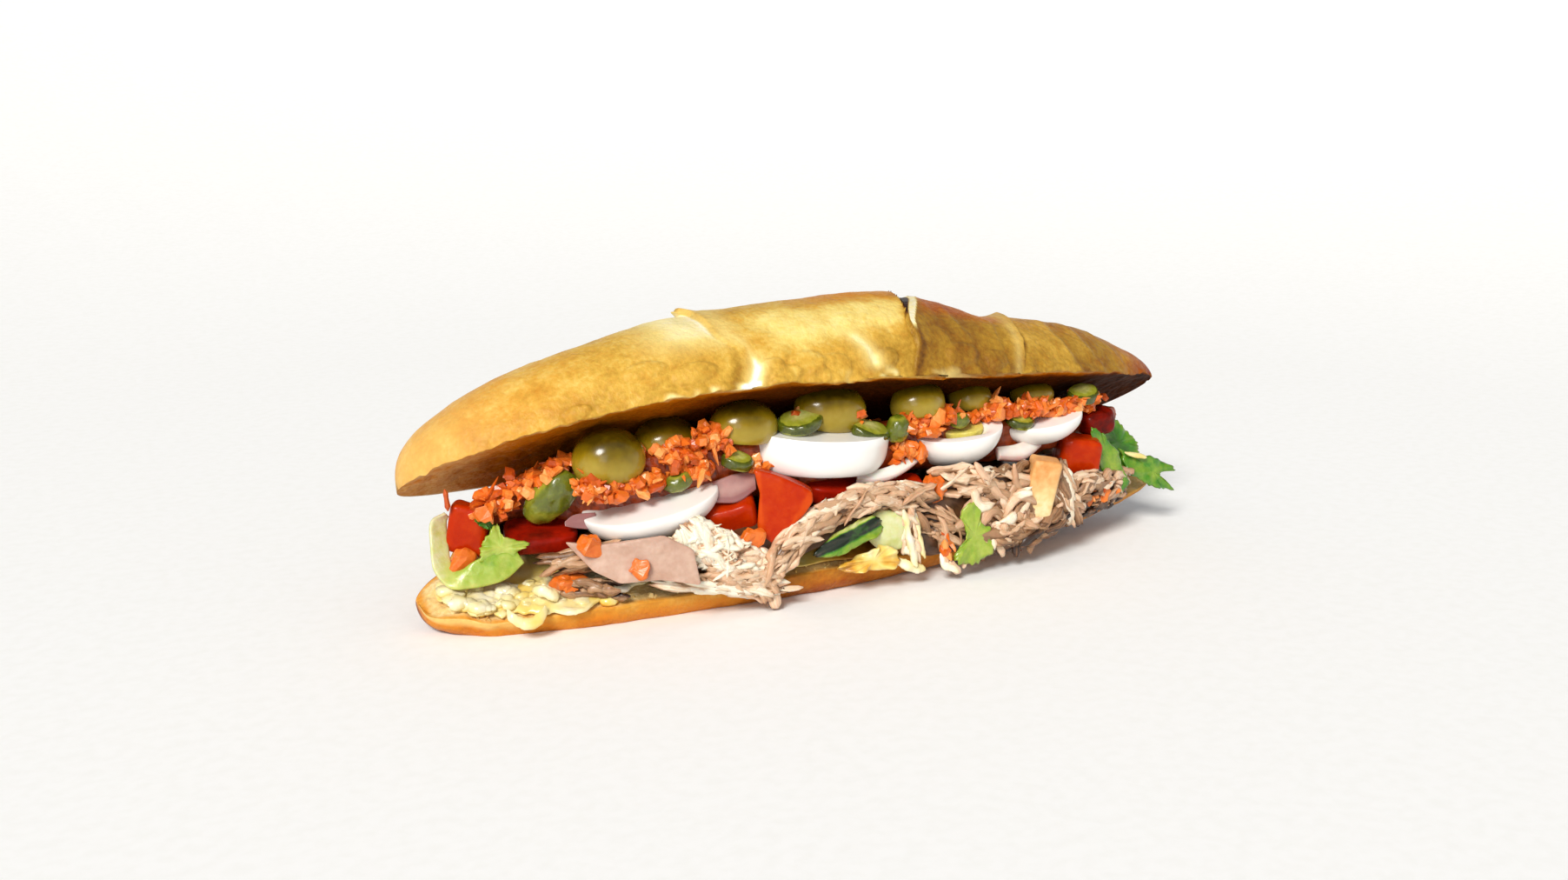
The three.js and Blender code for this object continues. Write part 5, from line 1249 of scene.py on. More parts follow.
def sauce_lumps(rng):
    """Soft lumps along the base's left rim: low balls, made uneven, leaning up to the back, with painted
    shade low down."""
    count = 170
    s = rng.uniform(-0.945, -0.6, count)
    x = s * BASE["half_length"]
    y = base_rim(s) + rng.uniform(2.2, 12, count)
    centres = np.stack([x, y, base_height(x, y) + rng.uniform(1.0, 3.0, count)], -1)
    size = rng.uniform(2, 4.6, (count, 1)) * rng.uniform(0.7, 1.3, (count, 3)) * np.array([1.4, 1, 0.7])
    centres, size = centres[:, None, None], size[:, None, None]
    ball = rounded((2, 2, 2), 8, 10)
    lumps = ball[None] * size / 2 + centres
    lumps = lumps + unit(ball) * soft_noise(lumps, 2.4, 47, 2)[..., None] * np.array([2.2, 2.2, 1.0])
    # Painted shade on the lower part of each lump
    sunk = (lumps[..., 2] - centres[..., 2]) / size[..., 2]
    shade = 0.5 + 0.3 * soft_noise(lumps, 5, 49, 2) + 0.45 * np.clip(sunk, -1, 0.3)
    lumps[..., 2] += 0.21 * (lumps[..., 1] - centres[..., 1])
    return closed_rings(lumps, shade=shade)


# Runs of mayonnaise over the rim, and one along the leaf at the right: line, thickness and shade
SAUCE_RUNS = (
    ([(-106.6, -30.6, 9), (-105.4, -32.8, 7), (-102.7, -34, 5.6), (-99.8, -34.4, 5.6), (-97.4, -34.2, 7),
      (-96.4, -32.8, 9)], 2.8, 0.6),
    ([(-98.4, -27, 11.6), (-96, -29.2, 11.8), (-93.4, -30, 11), (-91.6, -28.4, 11)], 3.8, 0.7),
    ([(12.4, -37.4, 25), (13.4, -38.4, 20), (14.4, -38.8, 14.6), (15.4, -39.2, 9.6), (16.2, -39.4, 6)],
     4.0, 0.8),
    ([(16.8, -37.2, 22), (17.6, -38, 17), (18.6, -38.6, 12), (19.8, -38.8, 8.6)], 2.8, 0.6),
    ([(9, -37.8, 9.6), (13, -38.6, 7.6), (17, -38.8, 5.4), (20, -38.4, 4.6)], 3.2, 0.68),
    ([(25.5, -38.2, 9), (26.4, -39, 6), (29, -39.6, 4.6), (30.6, -39.8, 2.4)], 2.8, 0.8),
    ([(108, -17.4, 27), (112, -18.4, 25.6), (116, -18.9, 24.6)], 1.6, 0.6),
)
SAUCE_FOLD = ((-10, -38.4, 9.8), (-4, -38.8, 11.8), (1.6, -39, 14), (5, -39, 14.6), (9.2, -39, 12.8),
              (10.9, -39.4, 8.8), (6.6, -39.6, 7), (0, -39.4, 7.4), (-6, -39, 7.6))


def sauce_run(rng, line, thickness, tone):
    """A run: a flat strand along its wavering line, made uneven."""
    path = smooth_line(line, 30)[None]
    path = path + 0.5 * np.stack([soft_noise(path + 9.0 * k, 4, 48 + k, 2) for k in range(3)], -1)
    width = np.array([thickness])
    side = np.array([0.0, 0.35, 1.0]) + 0 * path
    rings = strands(rng, path, side, width, width * 0.62, 16, 2, 0.1, 0.04)
    uneven = 0.2 * thickness * soft_noise(rings, 3.2, 52, 2)[..., None]
    rings = rings + uneven * unit(rings - path[:, :, None])
    return closed_rings(rings, shade=tone + 0.2 * soft_noise(rings, 4, 53))


def mayonnaise_shell(rng):
    """The spread, its lumps, its runs and a yolk-yellow fold pressed out in the middle."""
    shells = [sauce_spread(), sauce_lumps(rng)] + [sauce_run(rng, *run) for run in SAUCE_RUNS]
    fold, _ = leaf(SAUCE_FOLD, 1.8, 1.0, 0.02, 4, 120)
    shade = 0.22 + 0.3 * smoothstep(fold[..., 2], 9, 13) + 0.35 * soft_noise(fold, 3, 54, 2)
    return together(*shells, closed_rings(fold, shade=shade))


class BOCADILLO_OT_mayonnaise(bpy.types.Operator):
    """Adds the mayonnaise"""
    bl_idname = "bocadillo.mayonnaise"
    bl_label = "Mayonnaise"

    def execute(self, context):
        # Whipped egg sauce: smooth and wet, from yolk yellow to cream
        stops = ((0, "#a96a1a"), (0.2, "#dda536"), (0.4, "#ecce6c"), (0.6, "#eddc9c"), (0.82, "#f6ecc8"),
                 (1, "#fffaf0"))
        finish = {"Roughness": 0.28, "Coat Weight": 0.3, "Subsurface Weight": 0.2,
                  "Subsurface Radius": (1, 0.85, 0.5)}
        sauce = food_material("whipped_mayonnaise", stops, ((9, 0.4), (3, 0.3)), 0.4, finish)
        shell = mayonnaise_shell(np.random.default_rng(7))
        make_piece("mayonnaise_spread", shell, sauce, ["mayonnaise"])
        return {"FINISHED"}


def flow_frame(axis, walked, at):
    """Where a flow's line is at a way along it, going straight on past its ends, with the directions up and
    to the front across it."""
    total = walked[-1]
    inside = np.clip(at, 0, total)
    slope = np.gradient(axis, walked, axis=0)
    base = np.stack([np.interp(inside, walked, axis[:, i]) for i in range(3)], -1)
    tangent = unit(np.stack([np.interp(inside, walked, slope[:, i]) for i in range(3)], -1))
    front = np.array([0.0, -1.0, 0.0])
    front = unit(front - tangent * (tangent @ front)[..., None])
    return base + tangent * (at - inside)[..., None], np.cross(front, tangent), front


def fibres(rng, width, around):
    """Where a point lies across its strand's fibres, in millimetres, with a start of its own for each
    strand."""
    turn = 2 * np.pi * np.arange(around) / around
    return (width[:, None] / 2 * np.cos(turn) + rng.uniform(0, 300, (len(width), 1)))[:, None]


def flow_core(flow, axis, walked):
    """The lumpy tube inside a flow of tuna, narrowed to both ends by a power of the way from its middle,
    darker than its strands as painted shade in the gaps between them.
    """
    t = np.linspace(-0.99, 0.99, 34)
    base, up, front = flow_frame(axis, walked, (0.5 + 0.5 * t) * walked[-1])
    turn = (2 * np.pi * np.arange(18) / 18)[:, None]
    tube = up[:, None] * np.sin(turn) * flow["up"] + front[:, None] * np.cos(turn) * flow["deep"]
    points = base[:, None] + tube * (0.86 * np.sqrt(1 - t ** 4))[:, None, None]
    points = points + 0.9 * soft_noise(points, 4, 55, 2)[..., None] * unit(tube)
    # Dark: painted shade in the gaps between the strands
    return closed_rings(points, shade=flow["shade"][0] - 0.2)


def flow_strands(rng, flow, axis, walked):
    """Strands that lie round the front of a flow like bark: each keeps its angle round the tube but for a
    slow wander and a slant, and lifts off a little at its ends."""
    count = flow["count"]
    length = rng.uniform(*flow["length"], count)
    middle = rng.uniform(0.02, 0.98, count) * walked[-1]
    t = np.linspace(-1, 1, 9)[None]
    base, up, front = flow_frame(axis, walked, middle[:, None] + t * length[:, None] / 2)
    around = rng.uniform(-105, 105, (count, 1)) + 9 * np.sin(2.2 * t + rng.uniform(0, 6, (count, 1)))
    around = np.radians(around)
    out = rng.uniform(0.74, 1.16, (count, 1)) + 0.2 * np.abs(t) ** 2.5 * rng.uniform(-1, 1.4, (count, 1))
    slant = flow["slant"] * rng.normal(size=(count, 1)) * t * length[:, None] / 2
    high = out * flow["up"] * np.sin(around) + slant * np.cos(around)
    far = out * flow["deep"] * np.cos(around) - 0.4 * slant * np.sin(around)
    path = base + up * high[..., None] + front * far[..., None]
    side = up * np.cos(around)[..., None] - front * np.sin(around)[..., None]
    side = side + 0.5 * rng.normal(size=(count, 1, 3))
    width = rng.uniform(*flow["width"], count)
    rings = strands(rng, path, side, width, width * rng.uniform(0.45, 0.75, count), 7, 3, 0.12, 0.08)
    rings = rings + 0.5 * soft_noise(rings, 1.7, 56)[..., None] * unit(rings - path[:, :, None])
    # Painted highlight where a strand stands out from the tube and painted shade where it sinks in, paler
    # on the upper side of the tube and darker on the lower as painted light from above, and darker along
    # the lower edge at the right
    away = rings - base[:, :, None]
    upward = (away * up[:, :, None]).sum(-1) / flow["up"]
    forward = (away * front[:, :, None]).sum(-1) / flow["deep"]
    raised = np.clip(np.hypot(upward, forward) - 1.16, -0.6, 0.12)
    shade = rng.uniform(*flow["shade"], count)[:, None, None] + 0.08 * np.sin(around)[..., None]
    shade = shade + 1.3 * raised - 0.4 * smoothstep(rings[..., 0], 34, 44) * fade(rings[..., 2], 7, 14)
    return closed_rings(rings, shade=shade, fibre=fibres(rng, width, 7))


def curled_flakes(rng):
    """Curled flakes at the right, the last of them smaller, darker and lying along the lower edge; all of
    them darker further back as painted shade.
    """
    count, browned = 66, 16
    lower = np.arange(count) >= count - browned
    place = rng.uniform(-1, 1, (count, 3))
    middle = np.where(lower[:, None], np.array([55, -36.4, 10.4]) + place * np.array([13, 0.8, 1.8]),
                      np.array([47.5, -35.4, 19.5]) + place * np.array([11, 1.4, 7]))
    direction = rng.normal(size=(count, 3)) * np.array([1, 0.2, 1])
    length = rng.uniform(8, 15, count) * np.where(lower, 0.7, 1)
    bend = unit(np.cross(direction, [0.0, 1.0, 0.0])) * (length * rng.uniform(0.2, 0.6, count))[:, None]
    path = bent_paths(middle, direction, length, bend, 11)
    side = np.cross(np.gradient(path, axis=1), [0.0, 1.0, 0.0]) + 0.2 * rng.normal(size=(count, 1, 3))
    width = rng.uniform(2.0, 4.0, count)
    rings = strands(rng, path, side, width, width * rng.uniform(0.4, 0.7, count), 10, 3, 0.1, 0.06)
    rings = rings + 0.6 * soft_noise(rings, 2.2, 57)[..., None] * unit(rings - path[:, :, None])
    # Darker the further back a flake lies: painted shade
    shade = (rng.uniform(0.2, 0.85, count) - 0.4 * lower)[:, None, None] - 0.14 * (rings[..., 1] + 37)
    return closed_rings(rings, shade=shade, fibre=fibres(rng, width, 10))


def back_strands(rng):
    """Strands along the back face of the tuna."""
    count = 190
    s = rng.uniform(FILLING_START + 0.05, FILLING_END - 0.03, count)
    x = s * LID["half_length"]
    y = filling_back(s) - 1.2
    middle = np.stack([x, y, lerp(tuna_low(x, y), seam_height(x, y), rng.uniform(0.1, 0.95, count))], -1)
    direction = np.stack([np.ones(count), 0.1 * rng.normal(size=count), 0.35 * rng.normal(size=count)], -1)
    length = rng.uniform(8, 20, count)
    bend = rng.normal(size=(count, 3)) * length[:, None] * np.array([0.05, 0.02, 0.07])
    path = bent_paths(middle, direction, length, bend, 7)
    width = rng.uniform(2.4, 5.4, count)
    side = np.array([0.0, 0.2, 1.0]) + 0.3 * rng.normal(size=(count, 1, 3)) + 0 * path
    rings = strands(rng, path, side, width, width * 0.5)
    return closed_rings(rings, shade=rng.uniform(0.2, 0.85, count), fibre=fibres(rng, width, 6))


# Pale bits of tuna that hang over the base's rim: middle, direction, length and width of each
HANGING_BITS = (
    ((-31, -40.6, 3.8), (0.15, 0, -1.0), 6.6, 3.6),
    ((-27, -40.4, 6.2), (1.0, -0.1, -0.1), 9.0, 1.8),
    ((29.4, -39.4, 4.4), (0.7, -0.1, -0.8), 5.5, 2.8),
    ((33.4, -39, 5), (0.4, 0, 1.0), 4.0, 1.8),
    ((27, -39, 6), (0.2, 0, -1.0), 6.0, 2.0),
)


def hanging_bits(rng):
    """The hanging bits, each a little bent."""
    middle, direction, length, width = (np.array(column) for column in zip(*HANGING_BITS))
    path = bent_paths(middle, direction, length, np.array([[0.5, 0, 0.3]] * len(length)), 8)
    rings = strands(rng, path, np.array([1.0, 0, 0.3]) + 0 * path, width, width * 0.5, 10, 2, 0.05, 0.03)
    return closed_rings(rings, shade=0.8, fibre=fibres(rng, width, 10))


def tuna_shell(rng):
    """The tuna: a lumpy core, dark as painted shade between the strands, hollow where the second leaf
    shows, its flows, curled flakes at the right, strands over the back and hanging bits."""
    def lumps(points):
        hollow = 4.5 * hill(points[..., 0], -5, 17) * smoothstep(-points[..., 1], 20, 34)
        return 1.5 * soft_noise(points * np.array([0.5, 1, 1]), 4.5, 51, 3) - 1.2 - hollow
    core = layer(FILLING_START, FILLING_END, tuna_front, tuna_low, seam_height, 160, 48, lumps)
    # The core is near black-brown: painted shade in the gaps
    shells = [closed_rings(core, shade=0.05)]
    for flow in TUNA_FLOWS:
        axis = smooth_line(flow["line"], 80)
        walked = np.concatenate([[0], np.cumsum(np.linalg.norm(np.diff(axis, axis=0), axis=1))])
        shells += [flow_core(flow, axis, walked), flow_strands(rng, flow, axis, walked)]
    whole = together(*shells, curled_flakes(rng), back_strands(rng), hanging_bits(rng))
    whole.points[:, 2] = np.maximum(whole.points[:, 2], 0.3)
    return whole


class BOCADILLO_OT_tuna(bpy.types.Operator):
    """Adds the flaked tuna, its slice and its chunk"""
    bl_idname = "bocadillo.tuna"
    bl_label = "Tuna"

    def execute(self, context):
        look = context.scene.bocadillo_filling
        # Flaked cooked tuna: moist fibres, with painted shade brown in the gaps, pink-beige on top, nearly
        # white where it is dry
        stops = ((0, "#331c0c"), (0.2, "#775030"), (0.42, "#ae8460"), (0.64, look.tuna), (0.84, "#edcaaa"),
                 (1, "#f9ecd4"))
        finish = {"Roughness": 0.42, "Coat Weight": 0.12, "Subsurface Weight": 0.15}
        flaked = food_material("flaked_tuna", stops, ((6, 0.25), (1.6, 0.2)), 0.3, finish, (0.6, 0.34))
        make_piece("tuna_strands", tuna_shell(np.random.default_rng(17)), flaked, ["tuna_flakes"])
        # Pressed tuna, sliced: smooth and mauve-beige, with faint marks
        stops = ((0.2, "#8f6a58"), (0.5, "#b8937e"), (0.8, "#d6b8a4"))
        pressed = food_material("pressed_tuna", stops, ((7, 0.5), (1.5, 0.25)), 0.15, finish)
        slab = closed_rings(slab_of_layers(TUNA_SLICE), shade=0.55)
        make_piece("tuna_slab", slab, pressed, ["tuna_slice"])
        # A browned block of tuna: dry, orange on top and cream below
        stops = ((0.1, "#a4622c"), (0.45, "#dc9650"), (0.8, "#efcb8c"), (1, "#f8e4b8"))
        browned = food_material("browned_tuna", stops, ((6, 0.4), (1.8, 0.4)), 0.4, {"Roughness": 0.5})
        points = pebble(TUNA_CHUNK, 0.7, 5, 36)
        block = closed_rings(points, shade=0.5 + 0.36 * fade(points[..., 2], 19, 32))
        make_piece("tuna_block", block, browned, ["tuna_chunk"])
        return {"FINISHED"}


def carrot_centres(rng, loose):
    """Where the bits of carrot lie: drawn round the middle of each cluster, then loose ones over the top
    and back of the heap. Gives the middles and how many of them are clustered."""
    drawn = [np.array(middle) + rng.normal(0, 0.5, (count, 3)).clip(-1, 1) * np.array(reach)
             for middle, reach, count in CARROT_CLUSTERS]
    s = rng.uniform(FILLING_START + 0.02, FILLING_END - 0.07, loose)
    x = s * LID["half_length"]
    y = lerp(carrot_front(s) + 1.5, filling_back(s), rng.uniform(0, 1, loose) ** 0.8)
    rear = rng.uniform(size=loose) < 0.35
    y = np.where(rear, filling_back(s), y)
    top = carrot_top(x, y)
    z = np.where(rear, lerp(seam_height(x, y) + 2, top, rng.uniform(size=loose)), top - 1.4)
    return np.concatenate(drawn + [np.stack([x, y, z], -1)]), sum(len(group) for group in drawn)


def carrot_shreds(rng, centres):
    """Rings of short curled shreds beside about two in five of the bits."""
    picked = rng.uniform(size=len(centres)) < 0.4
    middle = centres[picked] + rng.normal(0, 0.8, (picked.sum(), 3))
    direction = rng.normal(size=middle.shape)
    length = rng.uniform(4, 8.5, len(middle))
    bend = unit(rng.normal(size=middle.shape)) * (length * rng.uniform(0.05, 0.3, len(middle)))[:, None]
    path = bent_paths(middle, direction, length, bend, 6)
    width = rng.uniform(1.3, 2.6, len(middle))
    side = rng.normal(size=(len(middle), 1, 3)) + 0 * path
    return strands(rng, path, side, width, width * rng.uniform(0.5, 0.9, len(middle)), 5, 2, 0.2, 0.15)


def carrot_spike(rng):
    """Rings of the thin upright shred above the left end."""
    middle, direction, straight = np.array([(-117.2, -12, 36.2)]), np.array([(0.1, 0, -1)]), np.zeros((1, 3))
    path = bent_paths(middle, direction, np.array([6.4]), straight, 6)
    return strands(rng, path, np.array([1.0, 0, 0]) + 0 * path, np.array([1.8]), np.array([1.4]), 5)


def carrot_shell(rng, loose):
    """Grated carrot: a core dark red-brown as painted shade, angular bits piled in clusters where they
    show, loose bits over the rest, and short curled shreds among them."""
    def lumps(points):
        return 1.4 * soft_noise(points, 3.6, 61, 2) - 1.2

    def low(x, y):
        return seam_height(x, y) + SEAM
    core = layer(FILLING_START - 0.05, FILLING_END + 0.01, carrot_front, low, carrot_top, 220, 70, lumps)
    centres, clustered = carrot_centres(rng, loose)
    count = len(centres)
    biggest = np.where(np.arange(count) < clustered, 5.4, 4.2)
    size = rng.uniform(1.9, biggest)[:, None] * rng.uniform([0.9, 0.6, 0.45], [1.25, 0.9, 0.8], (count, 3))
    shade = rng.uniform(0.2, 1, count)
    bits = chunks(rng, centres, size, 0.17)
    shreds = carrot_shreds(rng, centres)
    spike = carrot_spike(rng)
    shred_shade = rng.uniform(0.3, 1, len(shreds))
    # The core is dark red-brown: painted shade between the bits
    return together(closed_rings(core, shade=0.12), closed_rings(bits, shade=shade),
                    closed_rings(shreds, shade=shred_shade), closed_rings(spike, shade=0.3))


class BOCADILLO_OT_carrot(bpy.types.Operator):
    """Adds the grated carrot and its bits"""
    bl_idname = "bocadillo.carrot"
    bl_label = "Carrot"

    def execute(self, context):
        look = context.scene.bocadillo_filling
        # Raw carrot: wet, angular cuts, bright orange, with red-brown painted shade in its depths
        stops = ((0, "#4a1806"), (0.2, "#b4470e"), (0.5, look.carrot), (0.8, "#ea7c28"), (1, "#f6a256"))
        finish = {"Roughness": 0.36, "Coat Weight": 0.15, "Subsurface Weight": 0.12}
        carrot = food_material("raw_grated_carrot", stops, ((4, 0.3), (1.4, 0.3)), 0.3, finish)
        heap = carrot_shell(np.random.default_rng(23), look.loose_bits)
        make_piece("carrot_heap", heap, carrot, ["grated_carrot"], smooth=False)
        squarish = {"plan": 0.5, "side": 0.5}
        for i, (name, form) in enumerate(CARROT_BITS.items()):
            bit = closed_rings(pebble(form | squarish, 1.9, 2.4, 70 + i, 12, 16), shade=0.62)
            make_piece(f"{name}_cut", bit, carrot, [name], smooth=False)
        return {"FINISHED"}


def yolk_hollow(points):
    """How far the top of the third egg is hollowed out for its yolk: full in an oval, with steep sides."""
    reach = ((points[..., 0] - 1.4) / 7.2) ** 4 + ((points[..., 1] - 0.3) / 5.7) ** 4
    return np.where(points[..., 2] > 0, 5.6 * np.exp(-reach), 0)


class BOCADILLO_OT_egg(bpy.types.Operator):
    """Adds the cut boiled eggs"""
    bl_idname = "bocadillo.egg"
    bl_label = "Egg"

    def execute(self, context):
        # Boiled egg white: smooth, rubbery and faintly glossy, light glows under it
        stops = ((0.2, "#efece0"), (0.7, "#fdfcf8"))
        finish = {"Roughness": 0.26, "Coat Weight": 0.2, "Subsurface Weight": 0.2,
                  "Subsurface Radius": (1, 0.95, 0.85)}
        white = food_material("boiled_egg_white", stops, ((14, 0.5),), 0.1, finish)
        unmoved = {"at": (0, 0, 0), "turn": (0, 0, 0)}
        for i, (name, form) in enumerate(EGGS.items()):
            points = pebble(form | unmoved, 0.4, 10, 80 + i, 60, 96)
            if name == "egg_white_3":
                points[..., 2] -= yolk_hollow(points)
            made = closed_rings(placed(points, form["at"], form["turn"]), shade=0.6)
            make_piece(f"{name}_cut", made, white, [name])
        # Boiled yolk: dry, powdery and green-yellow
        stops = ((0.1, "#b9ab3c"), (0.5, "#dcce5e"), (0.9, "#f2e798"))
        yolk = food_material("boiled_egg_yolk", stops, ((3, 0.5), (0.9, 0.4)), 0.4, {"Roughness": 0.75})
        made = closed_rings(pebble(YOLK, 0.5, 3, 90), shade=0.55)
        make_piece("egg_yolk_cut", made, yolk, ["egg_yolk"])
        return {"FINISHED"}


class BOCADILLO_OT_tomato(bpy.types.Operator):
    """Adds the tomato dice and the wedge"""
    bl_idname = "bocadillo.tomato"
    bl_label = "Tomato"

    def execute(self, context):
        look = context.scene.bocadillo_filling
        # Ripe tomato: wet flesh, orange-red on cut faces, with dark red as painted shade on pieces in shadow
        stops = ((0, "#4c0a04"), (0.3, "#9c1805"), (0.6, look.tomato), (1, "#cc4a0a"))
        finish = {"Roughness": 0.3, "Coat Weight": 0.08, "Specular IOR Level": 0.1, "Subsurface Weight": 0.04}
        flesh = food_material("ripe_tomato", stops, ((7, 0.45), (2.2, 0.3)), 0.4, finish)
        # These pieces are darker as painted shade
        dark = {"tomato_2": 0.2, "tomato_5": 0.3, "tomato_6": 0.4, "tomato_8": 0.1}
        for i, (name, form) in enumerate(TOMATOES.items()):
            made = closed_rings(pebble(form, 0.9, 4.5, 100 + i), shade=dark.get(name, 0.62))
            make_piece(f"{name}_cut", made, flesh, [name])
        form = TOMATO_WEDGE
        points = plate(form["outline"], form["thick"], side=0.16)
        points = points + 0.4 * soft_noise(points, 5, 111, 2)[..., None] * unit(points)
        # Paler along both long edges: pale peel along the right one, and painted highlight on the narrow
        # facet at the left and along the right edge
        x, _, z = np.moveaxis(points, -1, 0)
        edges = np.clip(smoothstep(x - 0.62 * z, 4.6, 5.6) + smoothstep(-x, 4.4, 5.4), 0, 1)
        wedge = closed_rings(placed(points, form["at"], form["turn"]), shade=0.62 + 0.26 * edges)
        make_piece("tomato_4_cut", wedge, flesh, ["tomato_4"])
        return {"FINISHED"}


class BOCADILLO_OT_olives(bpy.types.Operator):
    """Adds the green olives"""
    bl_idname = "bocadillo.olives"
    bl_label = "Olives"

    def execute(self, context):
        look = context.scene.bocadillo_filling
        # Green olive in brine: taut waxy skin with small bright glints
        stops = ((0.1, "#3c2f02"), (0.5, look.olive), (0.9, "#b09a34"))
        finish = {"Roughness": 0.24, "Coat Weight": 0.35, "Specular IOR Level": 0.3, "Subsurface Weight": 0.1}
        skin = food_material("green_olive", stops, ((9, 0.6), (2, 0.15)), 0.08, finish)
        for i, (name, form) in enumerate(OLIVES.items()):
            points = pebble(form, 0.3, 8, 120 + i)
            low, high = points[..., 2].min(), points[..., 2].max()
            # Darker towards the top: painted shadow of the lid
            shade = 0.74 - 0.72 * smoothstep(points[..., 2], lerp(low, high, 0.3), high)
            make_piece(f"{name}_half", closed_rings(points, shade=shade), skin, [name])
        return {"FINISHED"}


class BOCADILLO_OT_gherkins(bpy.types.Operator):
    """Adds the gherkins, one long and the others sliced"""
    bl_idname = "bocadillo.gherkins"
    bl_label = "Gherkins"

    def execute(self, context):
        # Pickled gherkin: glossy, dark green warty skin round a pale wet middle
        stops = ((0, "#2a3406"), (0.3, "#626a12"), (0.65, "#9a9c30"), (1, "#d2cd84"))
        finish = {"Roughness": 0.25, "Coat Weight": 0.5, "Subsurface Weight": 0.12}
        skin = food_material("pickled_gherkin", stops, ((4, 0.3), (1.3, 0.3)), 0.3, finish)
        for i, (name, form) in enumerate(GHERKINS.items()):
            points = pebble(form, 0.5, 2.6, 140 + i)
            flat = points - np.array(form["at"])
            reach = np.linalg.norm(flat[..., :2] / (np.array(form["size"][:2]) / 2), axis=-1)
            # A slice has skin round its pale middle, the others are skin all over
            shade = 0.26 + 0.3 * hill(reach, 0.6, 0.15)
            if form.get("side") == 0.5:
                shade = np.where(reach > 0.86, 0.14, 0.9 - 0.4 * reach)
            make_piece(f"{name}_cut", closed_rings(points, shade=shade), skin, [name])
        return {"FINISHED"}


class BOCADILLO_OT_onions(bpy.types.Operator):
    """Adds the pieces of onion ring"""
    bl_idname = "bocadillo.onions"
    bl_label = "Onions"

    def execute(self, context):
        # Raw onion: wet, half clear white with pink-mauve edges
        stops = ((0, "#9a6a68"), (0.3, "#c9a39a"), (0.7, "#efe2d8"), (1, "#fbf6f0"))
        finish = {"Roughness": 0.2, "Coat Weight": 0.4, "Subsurface Weight": 0.45, "Subsurface Scale": 0.005}
        ring = food_material("raw_onion", stops, ((5, 0.3),), 0.15, finish)
        for i, (name, form) in enumerate(ONIONS.items()):
            rings, rise = strip(form["lower"], form["upper"], form["thick"], 0.25, 6, i + 1)
            shade = form["shade"] - 0.3 * hill(rise, 0.08, 0.1) + 0.12 * hill(rise, 0.5, 0.2)
            make_piece(f"{name}_ring", closed_rings(rings, shade=shade), ring, [name])
        return {"FINISHED"}


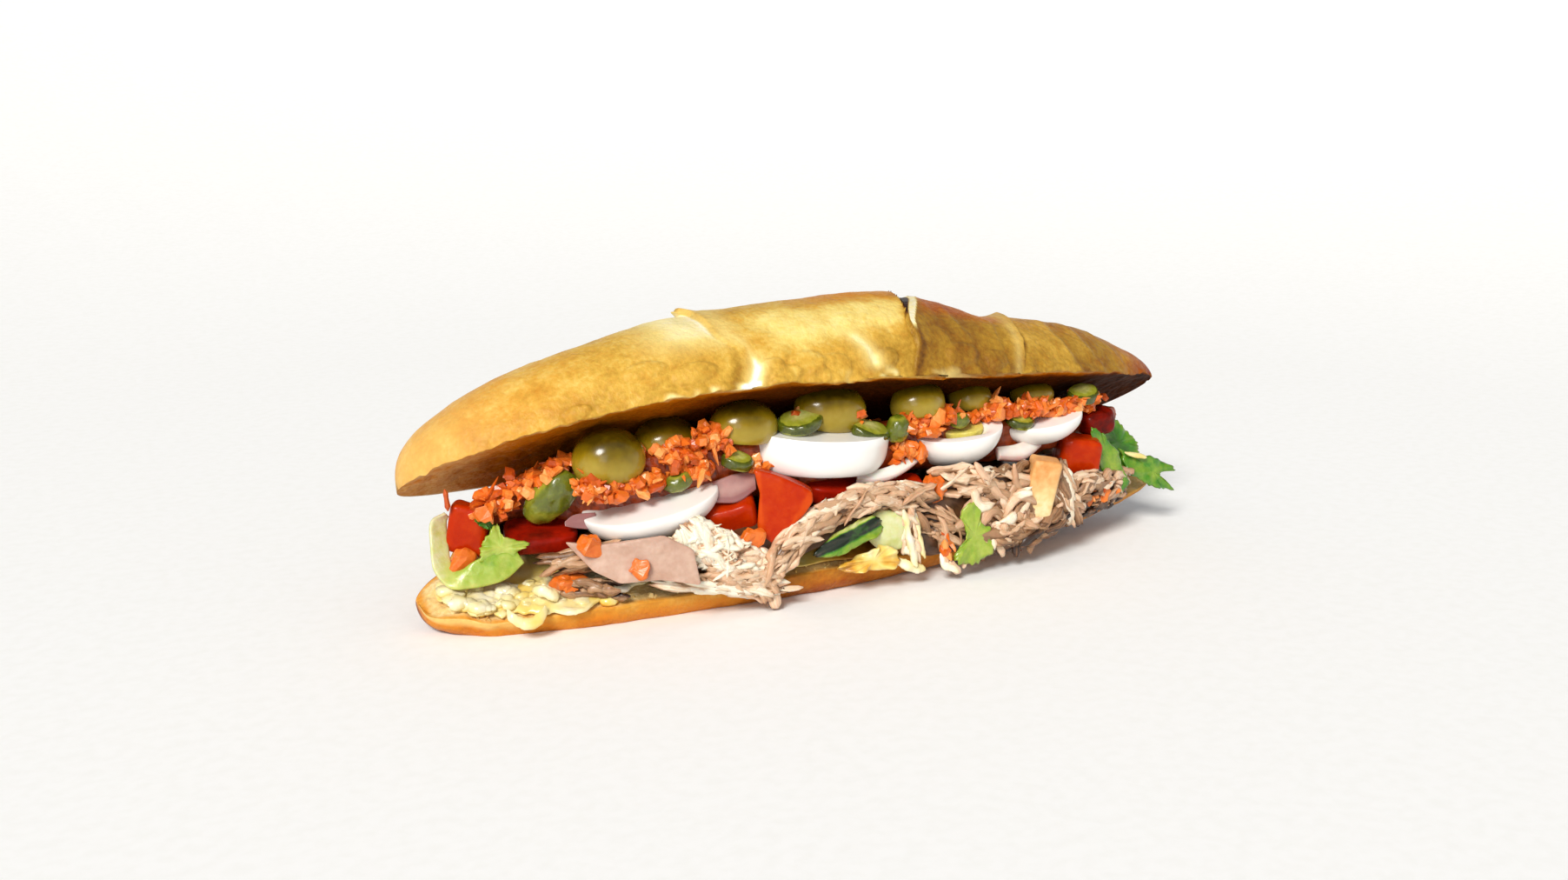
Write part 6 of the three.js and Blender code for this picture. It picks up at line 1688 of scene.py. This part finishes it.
class BOCADILLO_OT_lettuce(bpy.types.Operator):
    """Adds the lettuce leaves and the pale rib"""
    bl_idname = "bocadillo.lettuce"
    bl_label = "Lettuce"

    def execute(self, context):
        look = context.scene.bocadillo_filling
        # Crisp lettuce: thin and a little glossy, pale at the rib, veined, darker towards the frill
        stops = ((0, "#d8d8ae"), (0.25, "#c0c666"), (0.5, look.leaf), (0.75, "#3f7f14"), (1, "#0c1c06"))
        finish = {"Roughness": 0.32, "Coat Weight": 0.2, "Subsurface Weight": 0.25}
        green = food_material("crisp_lettuce", stops, ((7, 0.45), (2, 0.3)), 0.4, finish)
        thick = look.leaf_thickness / MM
        blades = {}
        for i, (name, edge) in enumerate(LEAVES.items()):
            teeth = 0.02 if name == "lettuce_2" else 0.05
            blades[name] = leaf(edge, thick, 0.5, teeth, 2 + i)
        # The first leaf: a strip that curls round the left end, pale at its rib, with a flap and a shred
        rings, rise = strip(LEAF_STRIP["lower"], LEAF_STRIP["upper"], 1.4 * thick, 0.5, 4, 9, 120)
        along = np.linspace(0, 1, len(rings))[:, None]
        curl = closed_rings(rings, shade=0.04 + 0.34 * smoothstep(along, 0.2, 0.75) + 0.12 * rise)
        points, reach = blades["lettuce_1_flap"]
        flap = closed_rings(points, shade=0.34 + 0.12 * reach)
        whole = together(curl, flap, closed_rings(blades["lettuce_1_shred"][0], shade=0.8))
        make_piece("lettuce_1_leaf", whole, green, ["lettuce_1"])
        # The second: nearly black-green along its middle as painted shade under the tuna, pale along its
        # upper edge
        points, _ = blades["lettuce_2"]
        flat = points - points.mean((0, 1))
        up = 0.95 * flat[..., 2] - 0.31 * flat[..., 0]
        shade = 0.62 + 0.42 * smoothstep(up, -1.7, -0.6) - 0.8 * smoothstep(up, 2.0, 2.8)
        make_piece("lettuce_2_leaf", closed_rings(points, shade=shade), green, ["lettuce_2"])
        # The others, darker towards their edges, the last with a fold behind it that is dark green as painted
        # shade
        for name, tone in (("lettuce_3", 0.36), ("lettuce_4", 0.58), ("lettuce_5", 0.56)):
            points, reach = blades[name]
            made = closed_rings(points, shade=tone + 0.16 * reach)
            if name == "lettuce_5":
                points, reach = blades["lettuce_5_fold"]
                made = together(made, closed_rings(points, shade=0.9 - 0.3 * reach))
            make_piece(f"{name}_leaf", made, green, [name])
        rib = closed_rings(pebble(LETTUCE_RIB, 1.2, 5, 160), shade=0.12)
        make_piece("lettuce_rib_cut", rib, green, ["lettuce_rib"])
        return {"FINISHED"}


class BOCADILLO_PT_panel(bpy.types.Panel):
    """Lists the steps that dress the bocadillo"""
    bl_idname = "BOCADILLO_PT_panel"
    bl_label = "Bocadillo"
    bl_space_type = "VIEW_3D"
    bl_region_type = "UI"
    bl_category = "Bocadillo"

    def draw(self, context):
        for step in STEPS:
            self.layout.operator(step.bl_idname)


STEPS = (
    BOCADILLO_OT_stage, BOCADILLO_OT_bread, BOCADILLO_OT_mayonnaise, BOCADILLO_OT_tuna, BOCADILLO_OT_carrot,
    BOCADILLO_OT_egg, BOCADILLO_OT_tomato, BOCADILLO_OT_olives, BOCADILLO_OT_gherkins, BOCADILLO_OT_onions,
    BOCADILLO_OT_lettuce,
)
LOOKS = {"bocadillo_roll": RollLook, "bocadillo_filling": FillingLook, "bocadillo_stage": StageLook}
CLASSES = tuple(LOOKS.values()) + STEPS + (BOCADILLO_PT_panel,)


def register():
    for item in CLASSES:
        bpy.utils.register_class(item)
    for name, group in LOOKS.items():
        setattr(bpy.types.Scene, name, PointerProperty(type=group))


def unregister():
    for name in LOOKS:
        delattr(bpy.types.Scene, name)
    for item in reversed(CLASSES):
        bpy.utils.unregister_class(item)


def main():
    register()
    for step in STEPS:
        group, name = step.bl_idname.split(".")
        getattr(getattr(bpy.ops, group), name)()


if __name__ == "__main__":
    main()
